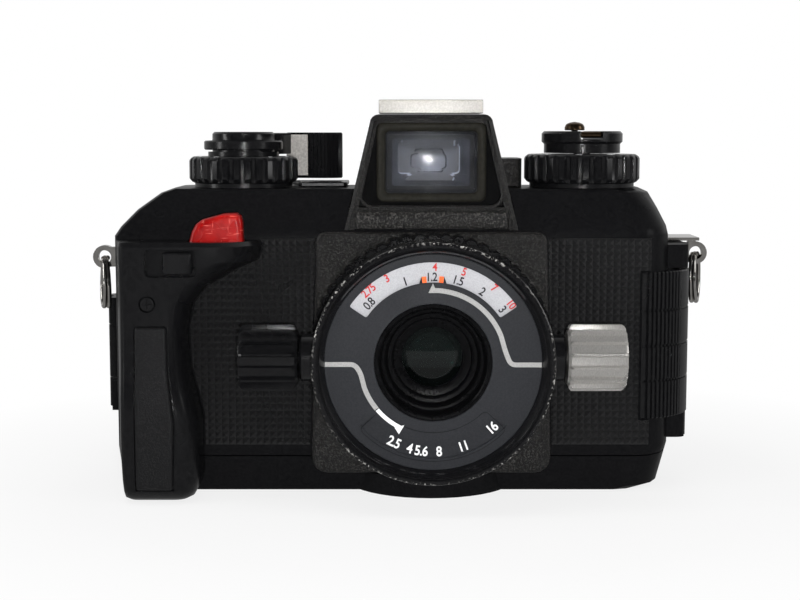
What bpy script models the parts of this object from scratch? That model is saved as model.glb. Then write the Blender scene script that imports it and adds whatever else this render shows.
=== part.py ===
"""Underwater film camera: an amphibious 35 mm viewfinder camera.

X runs along the body and is 0 on the lens axis. Y runs away from the viewer and is 0 in the
middle of the body. Z is up and is 0 on the base. All lengths are in metres.
"""
from math import cos, pi, radians, sin, sqrt

import bmesh
import bpy
from mathutils import Matrix, Vector

# Clearances
GAP = 0.0003              # between pieces that touch on the real object
RUNNING_GAP = 0.0004      # round shafts and sliding pieces
PAST = 0.0010             # how far a cutter runs past the face that it opens

# Body casting
BODY_LEFT = -0.0784
BODY_RIGHT = 0.0605
BODY_FRONT = -0.0185
BODY_BACK = 0.0205
BODY_TOP = 0.0754
FOOT_HEIGHT = 0.0115
SHOULDER_HEIGHT = 0.0640
BODY_CORNERS = ((0.0014, 0.0090), (0.0090, 0.0130), (0.0060, 0.0080), (0.0030, 0.0030))
BODY_STATIONS = (         # height, then how far left, right, front and back draw in
    (0.0000, 0.0022, 0.0056, 0.0036, 0.0036),
    (0.0012, 0.0008, 0.0022, 0.0026, 0.0028),
    (FOOT_HEIGHT, 0.0000, 0.0000, 0.0000, 0.0000),
    (SHOULDER_HEIGHT, 0.0000, 0.0005, 0.0000, 0.0000),
    (0.0662, 0.0014, 0.0009, 0.0010, 0.0003),
    (0.0703, 0.0053, 0.0028, 0.0029, 0.0012),
    (0.0743, 0.0108, 0.0050, 0.0048, 0.0026),
    (BODY_TOP, 0.0138, 0.0074, 0.0060, 0.0040),
)

# Back door and its seat
DOOR_SEAT = 0.0135
DOOR_THICKNESS = 0.0080
DOOR_LEFT = -0.0780
DOOR_RIGHT = 0.0593
DOOR_BOTTOM = 0.0024
DOOR_TOP = 0.0692
DOOR_CORNER = 0.0060
DOOR_TOP_LEFT_CORNER = 0.0030
DOOR_BEVEL = 0.0025
HINGE_X = -0.0828
HINGE_Y = 0.0170
HINGE_RADIUS = 0.0032
HINGE_PIN_RADIUS = 0.0011
HINGE_BOTTOM = 0.0160
HINGE_TOP = 0.0460
HINGE_KNUCKLE = 0.0077
HINGE_ARM_FRONT = 0.0085
HINGE_ARM_REACH = 0.0012  # past the hinge axis
SEAL_RADIUS = 0.0008
SEAL_MARGIN_X = 0.0030
SEAL_MARGIN_Z = 0.0070
PRESSURE_PLATE_LEFT = -0.0205
PRESSURE_PLATE_RIGHT = 0.0235
PRESSURE_PLATE_HALF_HEIGHT = 0.0180
PRESSURE_PLATE_THICKNESS = 0.0010
PRESSURE_POCKET_DEPTH = 0.0017
PRESSURE_POCKET_ROOM = 0.0012
PRESSURE_PIN_INSET = 0.0035
PRESSURE_PIN_RADIUS = 0.0010
FILM_ROOM = 0.0006        # for the film, between its rails and the pressure plate

# Film path
LENS_HEIGHT = 0.0362
FILM_POCKET_FLOOR = 0.0095
FILM_POCKET_LEFT = -0.0620
FILM_POCKET_RIGHT = 0.0530
FILM_POCKET_HEIGHT = 0.0400
GATE_WIDTH = 0.0360
GATE_HEIGHT = 0.0240
GATE_THICKNESS = 0.0009
GATE_HALF_HEIGHT = 0.0192
RAIL_HEIGHT = 0.0006
TAKE_UP_X = -0.0476
TAKE_UP_RADIUS = 0.0122
TAKE_UP_BOTTOM = 0.0152
TAKE_UP_TOP = 0.0572
SPOOL_RADIUS = 0.0072
SPOOL_FLANGE = 0.0097
SPOOL_SLOT_HALF = 0.0012
SPOOL_SLOT_REACH = 0.0150
SPROCKET_X = -0.0280
SPROCKET_Y = 0.0034
SPROCKET_RADIUS = 0.0050
SPROCKET_TEETH = 8
SPROCKET_TOOTH = 0.0009
SPROCKET_TOOTH_HALF = 0.0008
SPROCKET_WAIST = 0.0036
SPROCKET_ROW = 0.0142     # of teeth, above and below the middle of the film
CARTRIDGE_X = 0.0387
CARTRIDGE_RADIUS = 0.0131
CARTRIDGE_BOTTOM = 0.0110
CARTRIDGE_TOP = 0.0615

# Shutter
SHUTTER_HALF_WIDTH = 0.0210
SHUTTER_FRONT = -0.0012
SHUTTER_BOTTOM = 0.0093
SHUTTER_TOP = 0.0572
BLADE_THICKNESS = 0.0004
BLADE_HEIGHT = 0.0134
BLADE_FRONT = 0.0076

# Front plate and panels
PLATE_THICKNESS = 0.0022
PLATE_TOP = 0.0652
PLATE_BOTTOM = 0.0055
PLATE_HALF_TOP = 0.0282
PLATE_HALF_BOTTOM = 0.0297
PANEL_THICKNESS = 0.0008
PANEL_TOP = 0.0635
PANEL_BOTTOM = 0.0123
PANEL_RIGHT = 0.0539
MOUNT_RING_RADIUS = 0.0243
MOUNT_RING_FRONT = -0.0220
MOUNT_RING_BACK = -0.0140
LENS_THROAT_RADIUS = 0.0190
TRIPOD_BOSS_RADIUS = 0.0211
TRIPOD_BOSS_Y = -0.0035
TRIPOD_BOSS_HEIGHT = 0.0050
TRIPOD_Y = -0.0105
BUSHING_RADIUS = 0.0055
BUSHING_DEPTH = 0.0080
TRIPOD_SCREW_RADIUS = 0.0031

# Grip: height, right side, front, and the size of the rounded front right edge
GRIP_LEFT = -0.0772
GRIP_TAPER = 0.0027       # how far the left side leans in towards the front
GRIP_STATIONS = (
    (0.0000, -0.0598, -0.0262, 0.0030, 0.0030),
    (0.0012, -0.0580, -0.0292, 0.0040, 0.0045),
    (0.0030, -0.0570, -0.0312, 0.0045, 0.0050),
    (0.0060, -0.0562, -0.0322, 0.0050, 0.0060),
    (FOOT_HEIGHT, -0.0562, -0.0323, 0.0050, 0.0060),
    (0.0200, -0.0563, -0.0324, 0.0050, 0.0060),
    (0.0255, -0.0575, -0.0321, 0.0050, 0.0060),
    (0.0320, -0.0592, -0.0309, 0.0050, 0.0060),
    (0.0420, -0.0597, -0.0303, 0.0050, 0.0060),
    (0.0480, -0.0583, -0.0303, 0.0060, 0.0070),
    (0.0520, -0.0550, -0.0306, 0.0080, 0.0090),
    (0.0560, -0.0480, -0.0310, 0.0110, 0.0110),
    (0.0585, -0.0425, -0.0312, 0.0120, 0.0115),
    (0.0622, -0.0413, -0.0312, 0.0120, 0.0115),
    (0.0632, -0.0423, -0.0302, 0.0120, 0.0110),
)
INSERT_THICKNESS = 0.0008
INSERT_LEFT = -0.0711
INSERT_EDGE = (           # height and right side
    (0.0036, -0.0624),
    (0.0200, -0.0619),
    (0.0320, -0.0634),
    (0.0430, -0.0637),
)
GRIP_SCREW = (-0.0681, 0.0485)
GRIP_SCREW_HEAD = 0.0017
GRIP_SCREW_SHANK = 0.0007
GRIP_SCREW_SEAT = -0.0285
GRIP_SCREW_END = -0.0110

# Release and its lock
RELEASE_LEFT = -0.0588
RELEASE_RIGHT = -0.0455
RELEASE_FRONT = -0.0255
RELEASE_BACK = -0.0203
RELEASE_BASE = 0.0623
RELEASE_TOP = 0.0699
RELEASE_TRAVEL = 0.0025
RELEASE_STEM_X = -0.0535
RELEASE_STEM_RADIUS = 0.0016
RELEASE_STEM_LENGTH = 0.0043
LOCK_RECESS = (-0.0684, -0.0562, 0.0550, 0.0616)
LOCK_RECESS_DEPTH = 0.0024
LOCK_WIDTH = 0.0071
LOCK_TRAVEL = 0.0036

# Dials on the top plate
SPEED_DIAL_X = TAKE_UP_X
SPEED_DIAL_RADIUS = 0.0138
SPEED_DIAL_TOP = BODY_TOP + 0.0078
FILM_SPEED_DIAL_RADIUS = 0.01465
FILM_SPEED_DIAL_TOP = BODY_TOP + 0.0084
DIAL_FLUTES = 24
DIAL_FLUTE_DEPTH = 0.0009
ADVANCE_SHAFT_RADIUS = 0.0022
LEVER_HUB_RADIUS = 0.0100
LEVER_NECK_RADIUS = 0.0090
LEVER_CAP_RADIUS = 0.0079
LEVER_TOP = BODY_TOP + 0.0140
LEVER_TIP_BOTTOM = BODY_TOP + 0.0020
LEVER_ARM_BOTTOM = BODY_TOP + 0.0083
REWIND_RADIUS = 0.0103
REWIND_NECK_RADIUS = 0.0097
REWIND_TOP = BODY_TOP + 0.0142
REWIND_SHAFT_RADIUS = 0.0022
REWIND_SHAFT_BOTTOM = 0.0555
SLEEVE_WALL = 0.0006
CRANK_ANGLE = radians(8)
CRANK_HALF_WIDTH = 0.0024
CRANK_THICKNESS = 0.0016
CRANK_PIVOT = 0.0086
CRANK_LENGTH = 0.0162
CRANK_HANDLE_RADIUS = 0.0026
CRANK_HANDLE_TOP = BODY_TOP + 0.0166
CRANK_TOP = REWIND_TOP - 0.0001
CRANK_PIN_Z = CRANK_TOP - CRANK_THICKNESS / 2
CRANK_PIN_RADIUS = 0.0005
HANDLE_STEM_RADIUS = 0.0008
CRANK_PIN_REACH = 0.0010
COUNTER_X = -0.0263
COUNTER_Y = 0.0015
COUNTER_RADIUS = 0.0043
COUNTER_WINDOW_RADIUS = 0.0034
BEZEL_TOP = BODY_TOP + 0.0013
COUNTER_BEZEL = (-0.0360, -0.0212, -0.0030, 0.0165)
BOARD_ROOM = (-0.0160, 0.0160, -0.0090, 0.0120)
BOARD_FLOOR = 0.0640
BOARD_MARGIN = 0.0010
BOARD_THICKNESS = 0.0010
BOARD_CHIPS = (           # centre, half width, depth and height
    (-0.0070, -0.0020, 0.0040, 0.0040, 0.0018),
    (0.0060, 0.0040, 0.0050, 0.0035, 0.0022),
    (0.0020, -0.0050, 0.0020, 0.0015, 0.0012),
    (-0.0080, 0.0080, 0.0030, 0.0020, 0.0030),
)

# Viewfinder hump
HUMP_HALF_BOTTOM = 0.0213
HUMP_HALF_TOP = 0.0146
HUMP_BOTTOM = BODY_TOP - 0.0099
HUMP_TOP = BODY_TOP + 0.0183
HUMP_CORNER = 0.0022
HUMP_FRONT_BOTTOM = -0.0192
HUMP_FRONT_TOP = -0.0164
HUMP_BACK = 0.0190
FINDER_RECESS = (0.0178, 0.0140, BODY_TOP - 0.0043, HUMP_TOP - 0.0016)    # half widths and heights of the recess
FINDER_RECESS_FLOOR = -0.0135
FINDER_LEDGE_HEIGHT = BODY_TOP - 0.0048
FINDER_LEDGE_BACK = -0.0125
FRAME_HALF_WIDTH = 0.0135
FRAME_BOTTOM = BODY_TOP - 0.0032
FRAME_TOP = HUMP_TOP - 0.0019
FRAME_FRONT = -0.0158
FRAME_LIP = 0.0022
WINDOW_THICKNESS = 0.0016
TUNNEL_HALF_WIDTH = 0.0108
TUNNEL_BOTTOM = BODY_TOP - 0.0002
TUNNEL_TOP = HUMP_TOP - 0.0049
EYEPIECE_Z = HUMP_TOP - 0.0105
EYEPIECE_HALF_WIDTH = 0.0062
EYEPIECE_HALF_HEIGHT = 0.0046
EYEPIECE_RIM = 0.0028
EYEPIECE_DEPTH = 0.0030
SIDE_BLOCK = (0.0100, 0.0233, -0.0020, 0.0160)
SIDE_BLOCK_TOP = BODY_TOP + 0.0073
NAME_PLATE_HALF = 0.0186
NAME_PLATE_BOTTOM = HUMP_BOTTOM + 0.0002
NAME_PLATE_TOP = FINDER_LEDGE_HEIGHT - 0.0004
NAME_PLATE_PROUD = 0.0001
NAME_PLATE_DEPTH = 0.0004
SHOE_HALF_WIDTH = 0.0130
SHOE_FRONT = -0.0090
SHOE_BACK = 0.0095
SHOE_TOP = HUMP_TOP + 0.0037
SHOE_BASE = 0.0008
SHOE_LIP = 0.0007
SHOE_SLOT_HALF = 0.0094
SHOE_MOUTH_HALF = 0.0063

# Lugs, rings and latch
LATCH_DEPTH = 0.0053        # of the lever outside the end of the body
LATCH_OUTER = BODY_RIGHT + LATCH_DEPTH
LUG_LEFT_X = -0.0831
LUG_LEFT_Y = -0.0020
LUG_LEFT_Z = 0.0577
LUG_RIGHT_X = LATCH_OUTER + 0.0038
LUG_RIGHT_Y = 0.0080
LUG_RIGHT_Z = 0.0580
LUG_SLOT_FLOOR = LATCH_OUTER - 0.0036
LUG_RADIUS = 0.00295
LUG_HOLE_RADIUS = 0.0017
LUG_THICKNESS = 0.0024
LUG_PLATE = 0.0008        # plate of the right lug on top of its block
LUG_PLATE_DEPTH = (-0.0010, 0.0125)
STRAP_RING_WIRE = 0.0006
STRAP_RING_DROP = 0.0125
STRAP_RING_HALF_WIDTH = 0.0036
STRAP_RING_TURN = radians(18)
UPPER_BLOCK = (0.0560, LATCH_OUTER - 0.0009, -0.0105, 0.0130, 0.0556, 0.0614)
LOWER_BLOCK = (0.0560, LATCH_OUTER - 0.0007, -0.0080, 0.0130, 0.0120, 0.0184)
LATCH_FRONT = -0.0199
LATCH_REACH = radians(84)
LATCH_ARC_CENTRE = (0.0500, -0.0030)
LATCH_BARREL_RADIUS = LATCH_DEPTH / 2
LATCH_PIVOT_X = LATCH_OUTER - LATCH_BARREL_RADIUS
LATCH_PIVOT_Y = -0.0030
LATCH_PIN_RADIUS = 0.0010
LATCH_PIN_BOTTOM = 0.0138
LATCH_PIN_TOP = 0.0596

# Base fittings
BASE_SEAM = 0.0094
BATTERY_X = -0.0290
BATTERY_RADIUS = 0.0058
BATTERY_HEIGHT = 0.0108
BATTERY_CAP_RADIUS = 0.0080
SYNC_X = 0.0300
SYNC_CAP_RADIUS = 0.0070
SYNC_SOCKET_RADIUS = 0.0050
BASE_CAP_THICKNESS = 0.0026
CAP_INSET = 0.0002

# Lens
BARREL_RADIUS = 0.02825
BARREL_FRONT = -0.0460
BARREL_BACK = MOUNT_RING_FRONT - RUNNING_GAP
FLANGE_RADIUS = 0.0294
FLANGE_NOTCHES = 60
FLANGE_FRONT = -0.0315
FLANGE_BACK = -0.0255
FLANGE_SEAT_RADIUS = 0.0270
DIAL_WELL_RADIUS = 0.0253
DIAL_WELL_FLOOR = -0.0368
FACE_FRONT = -0.0422
FACE_THICKNESS = 0.0004
LENS_EYE_RADIUS = 0.0137
LENS_TUBE_RADIUS = 0.0170
LENS_TUBE_BACK = -0.0090
LENS_BORE_RADIUS = 0.0140
BAYONET_RADIUS = 0.0186
BAYONET_THICKNESS = 0.0020
BAYONET_HALF_ANGLE = radians(28)
KNOB_Y = -0.0330
KNOB_RADIUS = 0.0080
KNOB_ROOT_RADIUS = 0.0072
KNOB_INNER = 0.0318
KNOB_OUTER = 0.0457
KNOB_RIDGES = 15
KNOB_SHAFT_RADIUS = 0.0016
KNOB_SHAFT_INNER = 0.0180
COLLAR_RADIUS = 0.0056
COLLAR_OUTER = 0.0314
GLASS_RADIUS = 0.0072
REAR_GLASS_RADIUS = 0.0083
FRONT_GLASS_EDGE = -0.0316
FRONT_GLASS_BACK = -0.0293
FRONT_GLASS_BULGE = 0.0012
REAR_GLASS_FRONT = -0.0121
REAR_GLASS_BACK = -0.0100
LENS_STOP_RADIUS = 0.0052
FUNNEL_MOUTH = 0.0128
FUNNEL_STEPS = ((0.0096, -0.0345), (0.0118, -0.0375), (0.0124, -0.0378))
SCALE_THICKNESS = 0.0003
POINTER_THICKNESS = 0.0002
DISTANCE_WINDOW = (0.0187, 0.0234, radians(34), radians(146))
APERTURE_WINDOW = (0.0188, 0.0226, radians(220), radians(319.5))
APERTURE_TRAVEL = radians(71.5)
POINTER_ANGLE = radians(5.6)
POINTER_HALF_ANGLE = radians(1.6)

SMOOTH_ANGLE = radians(32)


# Materials

def material(name, colour, roughness, metallic):
    made = bpy.data.materials.get(name)
    if made:
        return made
    made = bpy.data.materials.new(name)
    made.use_nodes = True
    shader = made.node_tree.nodes["Principled BSDF"]
    shader.inputs["Base Color"].default_value = (*colour, 1.0)
    shader.inputs["Roughness"].default_value = roughness
    shader.inputs["Metallic"].default_value = metallic
    made.diffuse_color = (*colour, 1.0)
    return made


def gloss_black():
    return material("gloss_black", (0.012, 0.012, 0.014), 0.3, 0.0)


def wrinkle_black():
    return material("wrinkle_black", (0.035, 0.035, 0.037), 0.6, 0.0)


def rubber_black():
    return material("rubber_black", (0.016, 0.016, 0.017), 0.7, 0.0)


def slate_paint():
    return material("slate_paint", (0.045, 0.047, 0.055), 0.5, 0.0)


def scale_white():
    return material("scale_white", (0.72, 0.73, 0.76), 0.5, 0.0)


def pointer_orange():
    return material("pointer_orange", (0.9, 0.16, 0.03), 0.5, 0.0)


def release_red():
    return material("release_red", (0.55, 0.01, 0.008), 0.35, 0.0)


def bright_aluminium():
    return material("bright_aluminium", (0.75, 0.74, 0.72), 0.28, 1.0)


def chrome():
    return material("chrome", (0.8, 0.79, 0.77), 0.12, 1.0)


def plain_steel():
    return material("plain_steel", (0.55, 0.55, 0.56), 0.35, 1.0)


def bronze():
    return material("bronze", (0.30, 0.22, 0.14), 0.35, 1.0)


def clear_glass():
    return material("clear_glass", (0.03, 0.035, 0.05), 0.05, 0.0)


def board_green():
    return material("board_green", (0.02, 0.16, 0.07), 0.5, 0.0)


# Making solids

def finish(name, shape, surface, origin=(0.0, 0.0, 0.0)):
    """Turns a bmesh in world coordinates into an object whose origin is at the given point."""
    bmesh.ops.recalc_face_normals(shape, faces=shape.faces)
    bmesh.ops.translate(shape, verts=shape.verts, vec=-Vector(origin))
    mesh = bpy.data.meshes.new(name)
    shape.to_mesh(mesh)
    shape.free()
    mesh.materials.append(surface)
    mesh.shade_smooth()
    mesh.set_sharp_from_angle(angle=SMOOTH_ANGLE)
    made = bpy.data.objects.new(name, mesh)
    made.location = origin
    bpy.context.scene.collection.objects.link(made)
    return made


def combine(target, shape, operation):
    """Applies a Boolean of the bmesh to the object and takes the tool away again."""
    tool = finish("tool", shape, target.data.materials[0])
    cutter = target.modifiers.new("shape", "BOOLEAN")
    cutter.object = tool
    cutter.operation = operation
    cutter.solver = "EXACT"
    graph = bpy.context.evaluated_depsgraph_get()
    result = bpy.data.meshes.new_from_object(target.evaluated_get(graph))
    target.modifiers.clear()
    result.name = target.name
    target.data = result
    target.data.shade_smooth()
    target.data.set_sharp_from_angle(angle=SMOOTH_ANGLE)
    bpy.data.objects.remove(tool, do_unlink=True)


def cut(target, *shapes):
    for shape in shapes:
        combine(target, shape, "DIFFERENCE")


def add(target, *shapes):
    for shape in shapes:
        combine(target, shape, "UNION")


def skin(rings):
    """Closed solid through rings that all have as many points, capped at both ends."""
    shape = bmesh.new()
    rows = [[shape.verts.new(point) for point in ring] for ring in rings]
    count = len(rows[0])
    for lower, upper in zip(rows, rows[1:]):
        for i in range(count):
            j = (i + 1) % count
            shape.faces.new((lower[i], lower[j], upper[j], upper[i]))
    shape.faces.new(list(reversed(rows[0])))
    shape.faces.new(rows[-1])
    return shape


def place(axis, a, b, height):
    """A point of an outline that is drawn square to the given axis."""
    if axis == "X":
        return (height, a, b)
    if axis == "Y":
        return (a, height, b)
    return (a, b, height)


def prism(outline, low, high, axis="Z"):
    return skin([[place(axis, a, b, height) for a, b in outline] for height in (low, high)])


def box(x0, x1, y0, y1, z0, z1):
    return prism([(x0, y0), (x1, y0), (x1, y1), (x0, y1)], z0, z1)


def circle(radius, steps, centre=(0.0, 0.0)):
    turns = [2 * pi * i / steps for i in range(steps)]
    return [(centre[0] + radius * cos(t), centre[1] + radius * sin(t)) for t in turns]


def rod(centre, radius, low, high, axis="Z", steps=20):
    return prism(circle(radius, steps, centre), low, high, axis)


def turned(profile, centre, axis="Z", steps=32):
    """Revolves a closed profile of (radius, height) points about an axis through the centre."""
    shape = bmesh.new()
    rows = []
    for radius, height in profile:
        if radius < 1e-7:
            rows.append([shape.verts.new(place(axis, centre[0], centre[1], height))])
        else:
            ring = circle(radius, steps, centre)
            rows.append([shape.verts.new(place(axis, a, b, height)) for a, b in ring])
    for row, following in zip(rows, rows[1:] + rows[:1]):
        if len(row) == 1 and len(following) == 1:
            continue
        for i in range(steps):
            j = (i + 1) % steps
            if len(row) == 1:
                shape.faces.new((row[0], following[j], following[i]))
            elif len(following) == 1:
                shape.faces.new((row[i], row[j], following[0]))
            else:
                shape.faces.new((row[i], row[j], following[j], following[i]))
    return shape


def rounded(x0, x1, y0, y1, corners, steps=4):
    """Rectangle with elliptical corners, from front left round to back left."""
    signs = ((-1, -1), (1, -1), (1, 1), (-1, 1))
    points = []
    for number, ((rx, ry), (sx, sy)) in enumerate(zip(corners, signs)):
        cx = (x0 + rx) if sx < 0 else (x1 - rx)
        cy = (y0 + ry) if sy < 0 else (y1 - ry)
        start = pi + number * pi / 2
        for step in range(steps + 1):
            angle = start + step / steps * pi / 2
            points.append((cx + rx * cos(angle), cy + ry * sin(angle)))
    return points


def rounded_even(x0, x1, y0, y1, radius, steps=3):
    return rounded(x0, x1, y0, y1, ((radius, radius),) * 4, steps)


def sector(inner, outer, start, end, steps, centre=(0.0, 0.0)):
    """Part of a ring between two angles."""
    turns = [start + (end - start) * i / steps for i in range(steps + 1)]
    out = [(centre[0] + outer * cos(t), centre[1] + outer * sin(t)) for t in turns]
    back = [(centre[0] + inner * cos(t), centre[1] + inner * sin(t)) for t in reversed(turns)]
    return out + back


def toothed(count, tip, root, tip_share, centre=(0.0, 0.0)):
    """Round outline with flat ridges: each ridge takes tip_share of its pitch."""
    pitch = 2 * pi / count
    foot_share = tip_share + 0.16
    corners = ((root, -foot_share), (tip, -tip_share), (tip, tip_share), (root, foot_share))
    points = []
    for i in range(count):
        for radius, share in corners:
            angle = (i + share / 2) * pitch
            points.append((centre[0] + radius * cos(angle), centre[1] + radius * sin(angle)))
    return points


def zigzag(count, tip, root, centre=(0.0, 0.0)):
    """Round outline with pointed flutes."""
    points = []
    for i in range(2 * count):
        radius = root if i % 2 else tip
        angle = pi * i / count
        points.append((centre[0] + radius * cos(angle), centre[1] + radius * sin(angle)))
    return points


def loop_tube(path, normal, wire, sides=8):
    """Closed tube of a round wire along a flat loop of points."""
    shape = bmesh.new()
    count = len(path)
    across = Vector(normal).normalized()
    rows = []
    for i, point in enumerate(path):
        along = (Vector(path[(i + 1) % count]) - Vector(path[i - 1])).normalized()
        outward = along.cross(across)
        turns = [2 * pi * k / sides for k in range(sides)]
        rows.append([shape.verts.new(Vector(point) + outward * wire * cos(t) + across * wire * sin(t))
                     for t in turns])
    for i in range(count):
        row, following = rows[i], rows[(i + 1) % count]
        for k in range(sides):
            m = (k + 1) % sides
            shape.faces.new((row[k], row[m], following[m], following[k]))
    return shape


# Body

def between(stations, height, column):
    """Value of one column of a list of stations at a height."""
    for lower, upper in zip(stations, stations[1:]):
        if lower[0] <= height <= upper[0]:
            share = (height - lower[0]) / (upper[0] - lower[0])
            return lower[column] + (upper[column] - lower[column]) * share
    return stations[-1][column]


def body_front(height):
    return BODY_FRONT + between(BODY_STATIONS, height, 3)


def body_ring(height, left, right, front, back):
    outline = rounded(BODY_LEFT + left, BODY_RIGHT - right, BODY_FRONT + front, BODY_BACK - back,
                      BODY_CORNERS)
    return [(x, y, height) for x, y in outline]


def hinge_span(part):
    """Low and high end of the lower, middle or upper hinge knuckle."""
    if part == "lower":
        return HINGE_BOTTOM, HINGE_BOTTOM + HINGE_KNUCKLE
    if part == "upper":
        return HINGE_TOP - HINGE_KNUCKLE, HINGE_TOP
    return HINGE_BOTTOM + HINGE_KNUCKLE + GAP, HINGE_TOP - HINGE_KNUCKLE - GAP


def chamber(x, y, radius, low, high):
    """Upright film chamber with a round front, open to the back."""
    turns = [pi + pi * i / 12 for i in range(13)]
    outline = [(x + radius * cos(t), y + radius * sin(t)) for t in turns]
    outline += [(x + radius, DOOR_SEAT + PAST), (x - radius, DOOR_SEAT + PAST)]
    return prism(outline, low, high)


def casting_blank(name):
    """Casting of the whole body, before it is parted from its base cover."""
    body = finish(name, skin([body_ring(*station) for station in BODY_STATIONS]), gloss_black())
    add(body, rod((0.0, TRIPOD_BOSS_Y), TRIPOD_BOSS_RADIUS, 0.0, TRIPOD_BOSS_HEIGHT, steps=40))
    for x0, x1, y0, y1, z0, z1 in (UPPER_BLOCK, LOWER_BLOCK):
        add(body, prism(rounded_even(x0, x1, y0, y1, 0.0022), z0, z1))
        add(body, rod((LATCH_PIVOT_X, LATCH_PIVOT_Y), LATCH_BARREL_RADIUS, z0, z1, steps=24))
    cut(body, box(BODY_LEFT - 0.01, BODY_RIGHT + 0.01, DOOR_SEAT, BODY_BACK + 0.01,
                  -PAST, DOOR_TOP + GAP))
    arm_right = DOOR_LEFT - 2 * RUNNING_GAP
    for part in ("lower", "upper"):
        low, high = hinge_span(part)
        add(body, box(HINGE_X - HINGE_ARM_REACH, arm_right, HINGE_ARM_FRONT, HINGE_Y, low, high))
        add(body, box(HINGE_X, BODY_LEFT + BODY_CORNERS[3][0] + PAST, HINGE_ARM_FRONT,
                      DOOR_SEAT - RUNNING_GAP, low, high))
        add(body, rod((HINGE_X, HINGE_Y), HINGE_RADIUS, low, high, steps=24))
    pin_hole = HINGE_PIN_RADIUS + GAP
    cut(body, rod((HINGE_X, HINGE_Y), pin_hole, HINGE_BOTTOM - PAST, HINGE_TOP + PAST, steps=16))

    pocket_low = LENS_HEIGHT - FILM_POCKET_HEIGHT / 2
    pocket_high = LENS_HEIGHT + FILM_POCKET_HEIGHT / 2
    cut(body, box(FILM_POCKET_LEFT, FILM_POCKET_RIGHT, FILM_POCKET_FLOOR, DOOR_SEAT + PAST,
                  pocket_low, pocket_high))
    cut(body, chamber(TAKE_UP_X, 0.0, TAKE_UP_RADIUS, TAKE_UP_BOTTOM, TAKE_UP_TOP))
    cut(body, chamber(CARTRIDGE_X, 0.0, CARTRIDGE_RADIUS, CARTRIDGE_BOTTOM, CARTRIDGE_TOP))
    sprocket_room = SPROCKET_RADIUS + SPROCKET_TOOTH + 0.0005
    cut(body, chamber(SPROCKET_X, SPROCKET_Y, sprocket_room, TAKE_UP_BOTTOM, TAKE_UP_TOP))
    cut(body, box(-SHUTTER_HALF_WIDTH - GAP, SHUTTER_HALF_WIDTH + GAP, SHUTTER_FRONT - GAP,
                  DOOR_SEAT + PAST, SHUTTER_BOTTOM - GAP, SHUTTER_TOP + GAP))
    cut(body, rod((0.0, LENS_HEIGHT), LENS_THROAT_RADIUS, BODY_FRONT - PAST, 0.0, "Y", 40))

    advance_bore = ADVANCE_SHAFT_RADIUS + RUNNING_GAP
    cut(body, rod((TAKE_UP_X, 0.0), advance_bore, TAKE_UP_TOP - PAST, BODY_TOP + PAST))
    cut(body, rod((CARTRIDGE_X, 0.0), sleeve_outer() + RUNNING_GAP, CARTRIDGE_TOP - PAST,
                  BODY_TOP + PAST))
    cut(body, rod((COUNTER_X, COUNTER_Y), COUNTER_RADIUS + 0.0006, BODY_TOP - 0.0022,
                  BODY_TOP + PAST))
    cut(body, box(*BOARD_ROOM, BOARD_FLOOR, BODY_TOP + PAST))

    cut(body, hump_notch())
    x, y, z = LUG_RIGHT_X, LUG_RIGHT_Y, LUG_RIGHT_Z
    slot = LUG_THICKNESS / 2 + GAP
    reach = 2 * LUG_RADIUS
    cut(body, box(LUG_SLOT_FLOOR, x, y - slot, y + slot, z - reach, z + reach))

    cut(body, rod((0.0, TRIPOD_Y), BUSHING_RADIUS + GAP, -PAST, BUSHING_DEPTH + GAP))
    cap_seat = BASE_CAP_THICKNESS + CAP_INSET + GAP
    cut(body, rod((BATTERY_X, 0.0), BATTERY_CAP_RADIUS + RUNNING_GAP, -PAST, cap_seat))
    cut(body, rod((BATTERY_X, 0.0), BATTERY_RADIUS + GAP, 0.0, cap_seat + BATTERY_HEIGHT + 0.0006))
    cut(body, rod((SYNC_X, 0.0), SYNC_CAP_RADIUS + RUNNING_GAP, -PAST, cap_seat))
    cut(body, rod((SYNC_X, 0.0), SYNC_SOCKET_RADIUS + GAP, 0.0, 0.0090))
    cut(body, rod(GRIP_SCREW, GRIP_SCREW_SHANK + GAP, BODY_FRONT - PAST, GRIP_SCREW_END + PAST, "Y", 16))
    latch_hole = LATCH_PIN_RADIUS + GAP
    cut(body, rod((LATCH_PIVOT_X, LATCH_PIVOT_Y), latch_hole, LATCH_PIN_BOTTOM - GAP,
                  LATCH_PIN_TOP + GAP, steps=16))
    return body


def slab(low, high):
    """Box round the whole casting between two heights."""
    reach = LATCH_DEPTH + STRAP_RING_DROP
    return box(BODY_LEFT - reach, BODY_RIGHT + reach, BODY_FRONT - reach, BODY_BACK + reach, low, high)


def body_casting():
    body = casting_blank("body_casting")
    cut(body, slab(-PAST, BASE_SEAM))
    return body


def base_cover():
    """Bottom of the casting, with the tripod boss and the seats of the two caps."""
    cover = casting_blank("base_cover")
    cut(cover, slab(BASE_SEAM - GAP, BODY_TOP + PAST))
    return cover


def tripod_bushing():
    """Socket for a 1/4 inch tripod screw."""
    profile = [(TRIPOD_SCREW_RADIUS, CAP_INSET), (BUSHING_RADIUS, CAP_INSET),
               (BUSHING_RADIUS, BUSHING_DEPTH), (0.0, BUSHING_DEPTH),
               (0.0, BUSHING_DEPTH - 0.0010), (TRIPOD_SCREW_RADIUS, BUSHING_DEPTH - 0.0010)]
    return finish("tripod_bushing", turned(profile, (0.0, TRIPOD_Y), steps=24), plain_steel())


def base_cap(name, x, radius):
    """Round screw cap in the base with a coin slot."""
    low = CAP_INSET
    high = CAP_INSET + BASE_CAP_THICKNESS
    profile = [(0.0, low), (radius - 0.0005, low), (radius, low + 0.0005), (radius, high), (0.0, high)]
    cap = finish(name, turned(profile, (x, 0.0), steps=28), gloss_black(), (x, 0.0, 0.0))
    slot = radius * 0.75
    cut(cap, box(x - slot, x + slot, -0.0008, 0.0008, 0.0, low + 0.0011))
    return cap


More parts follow.
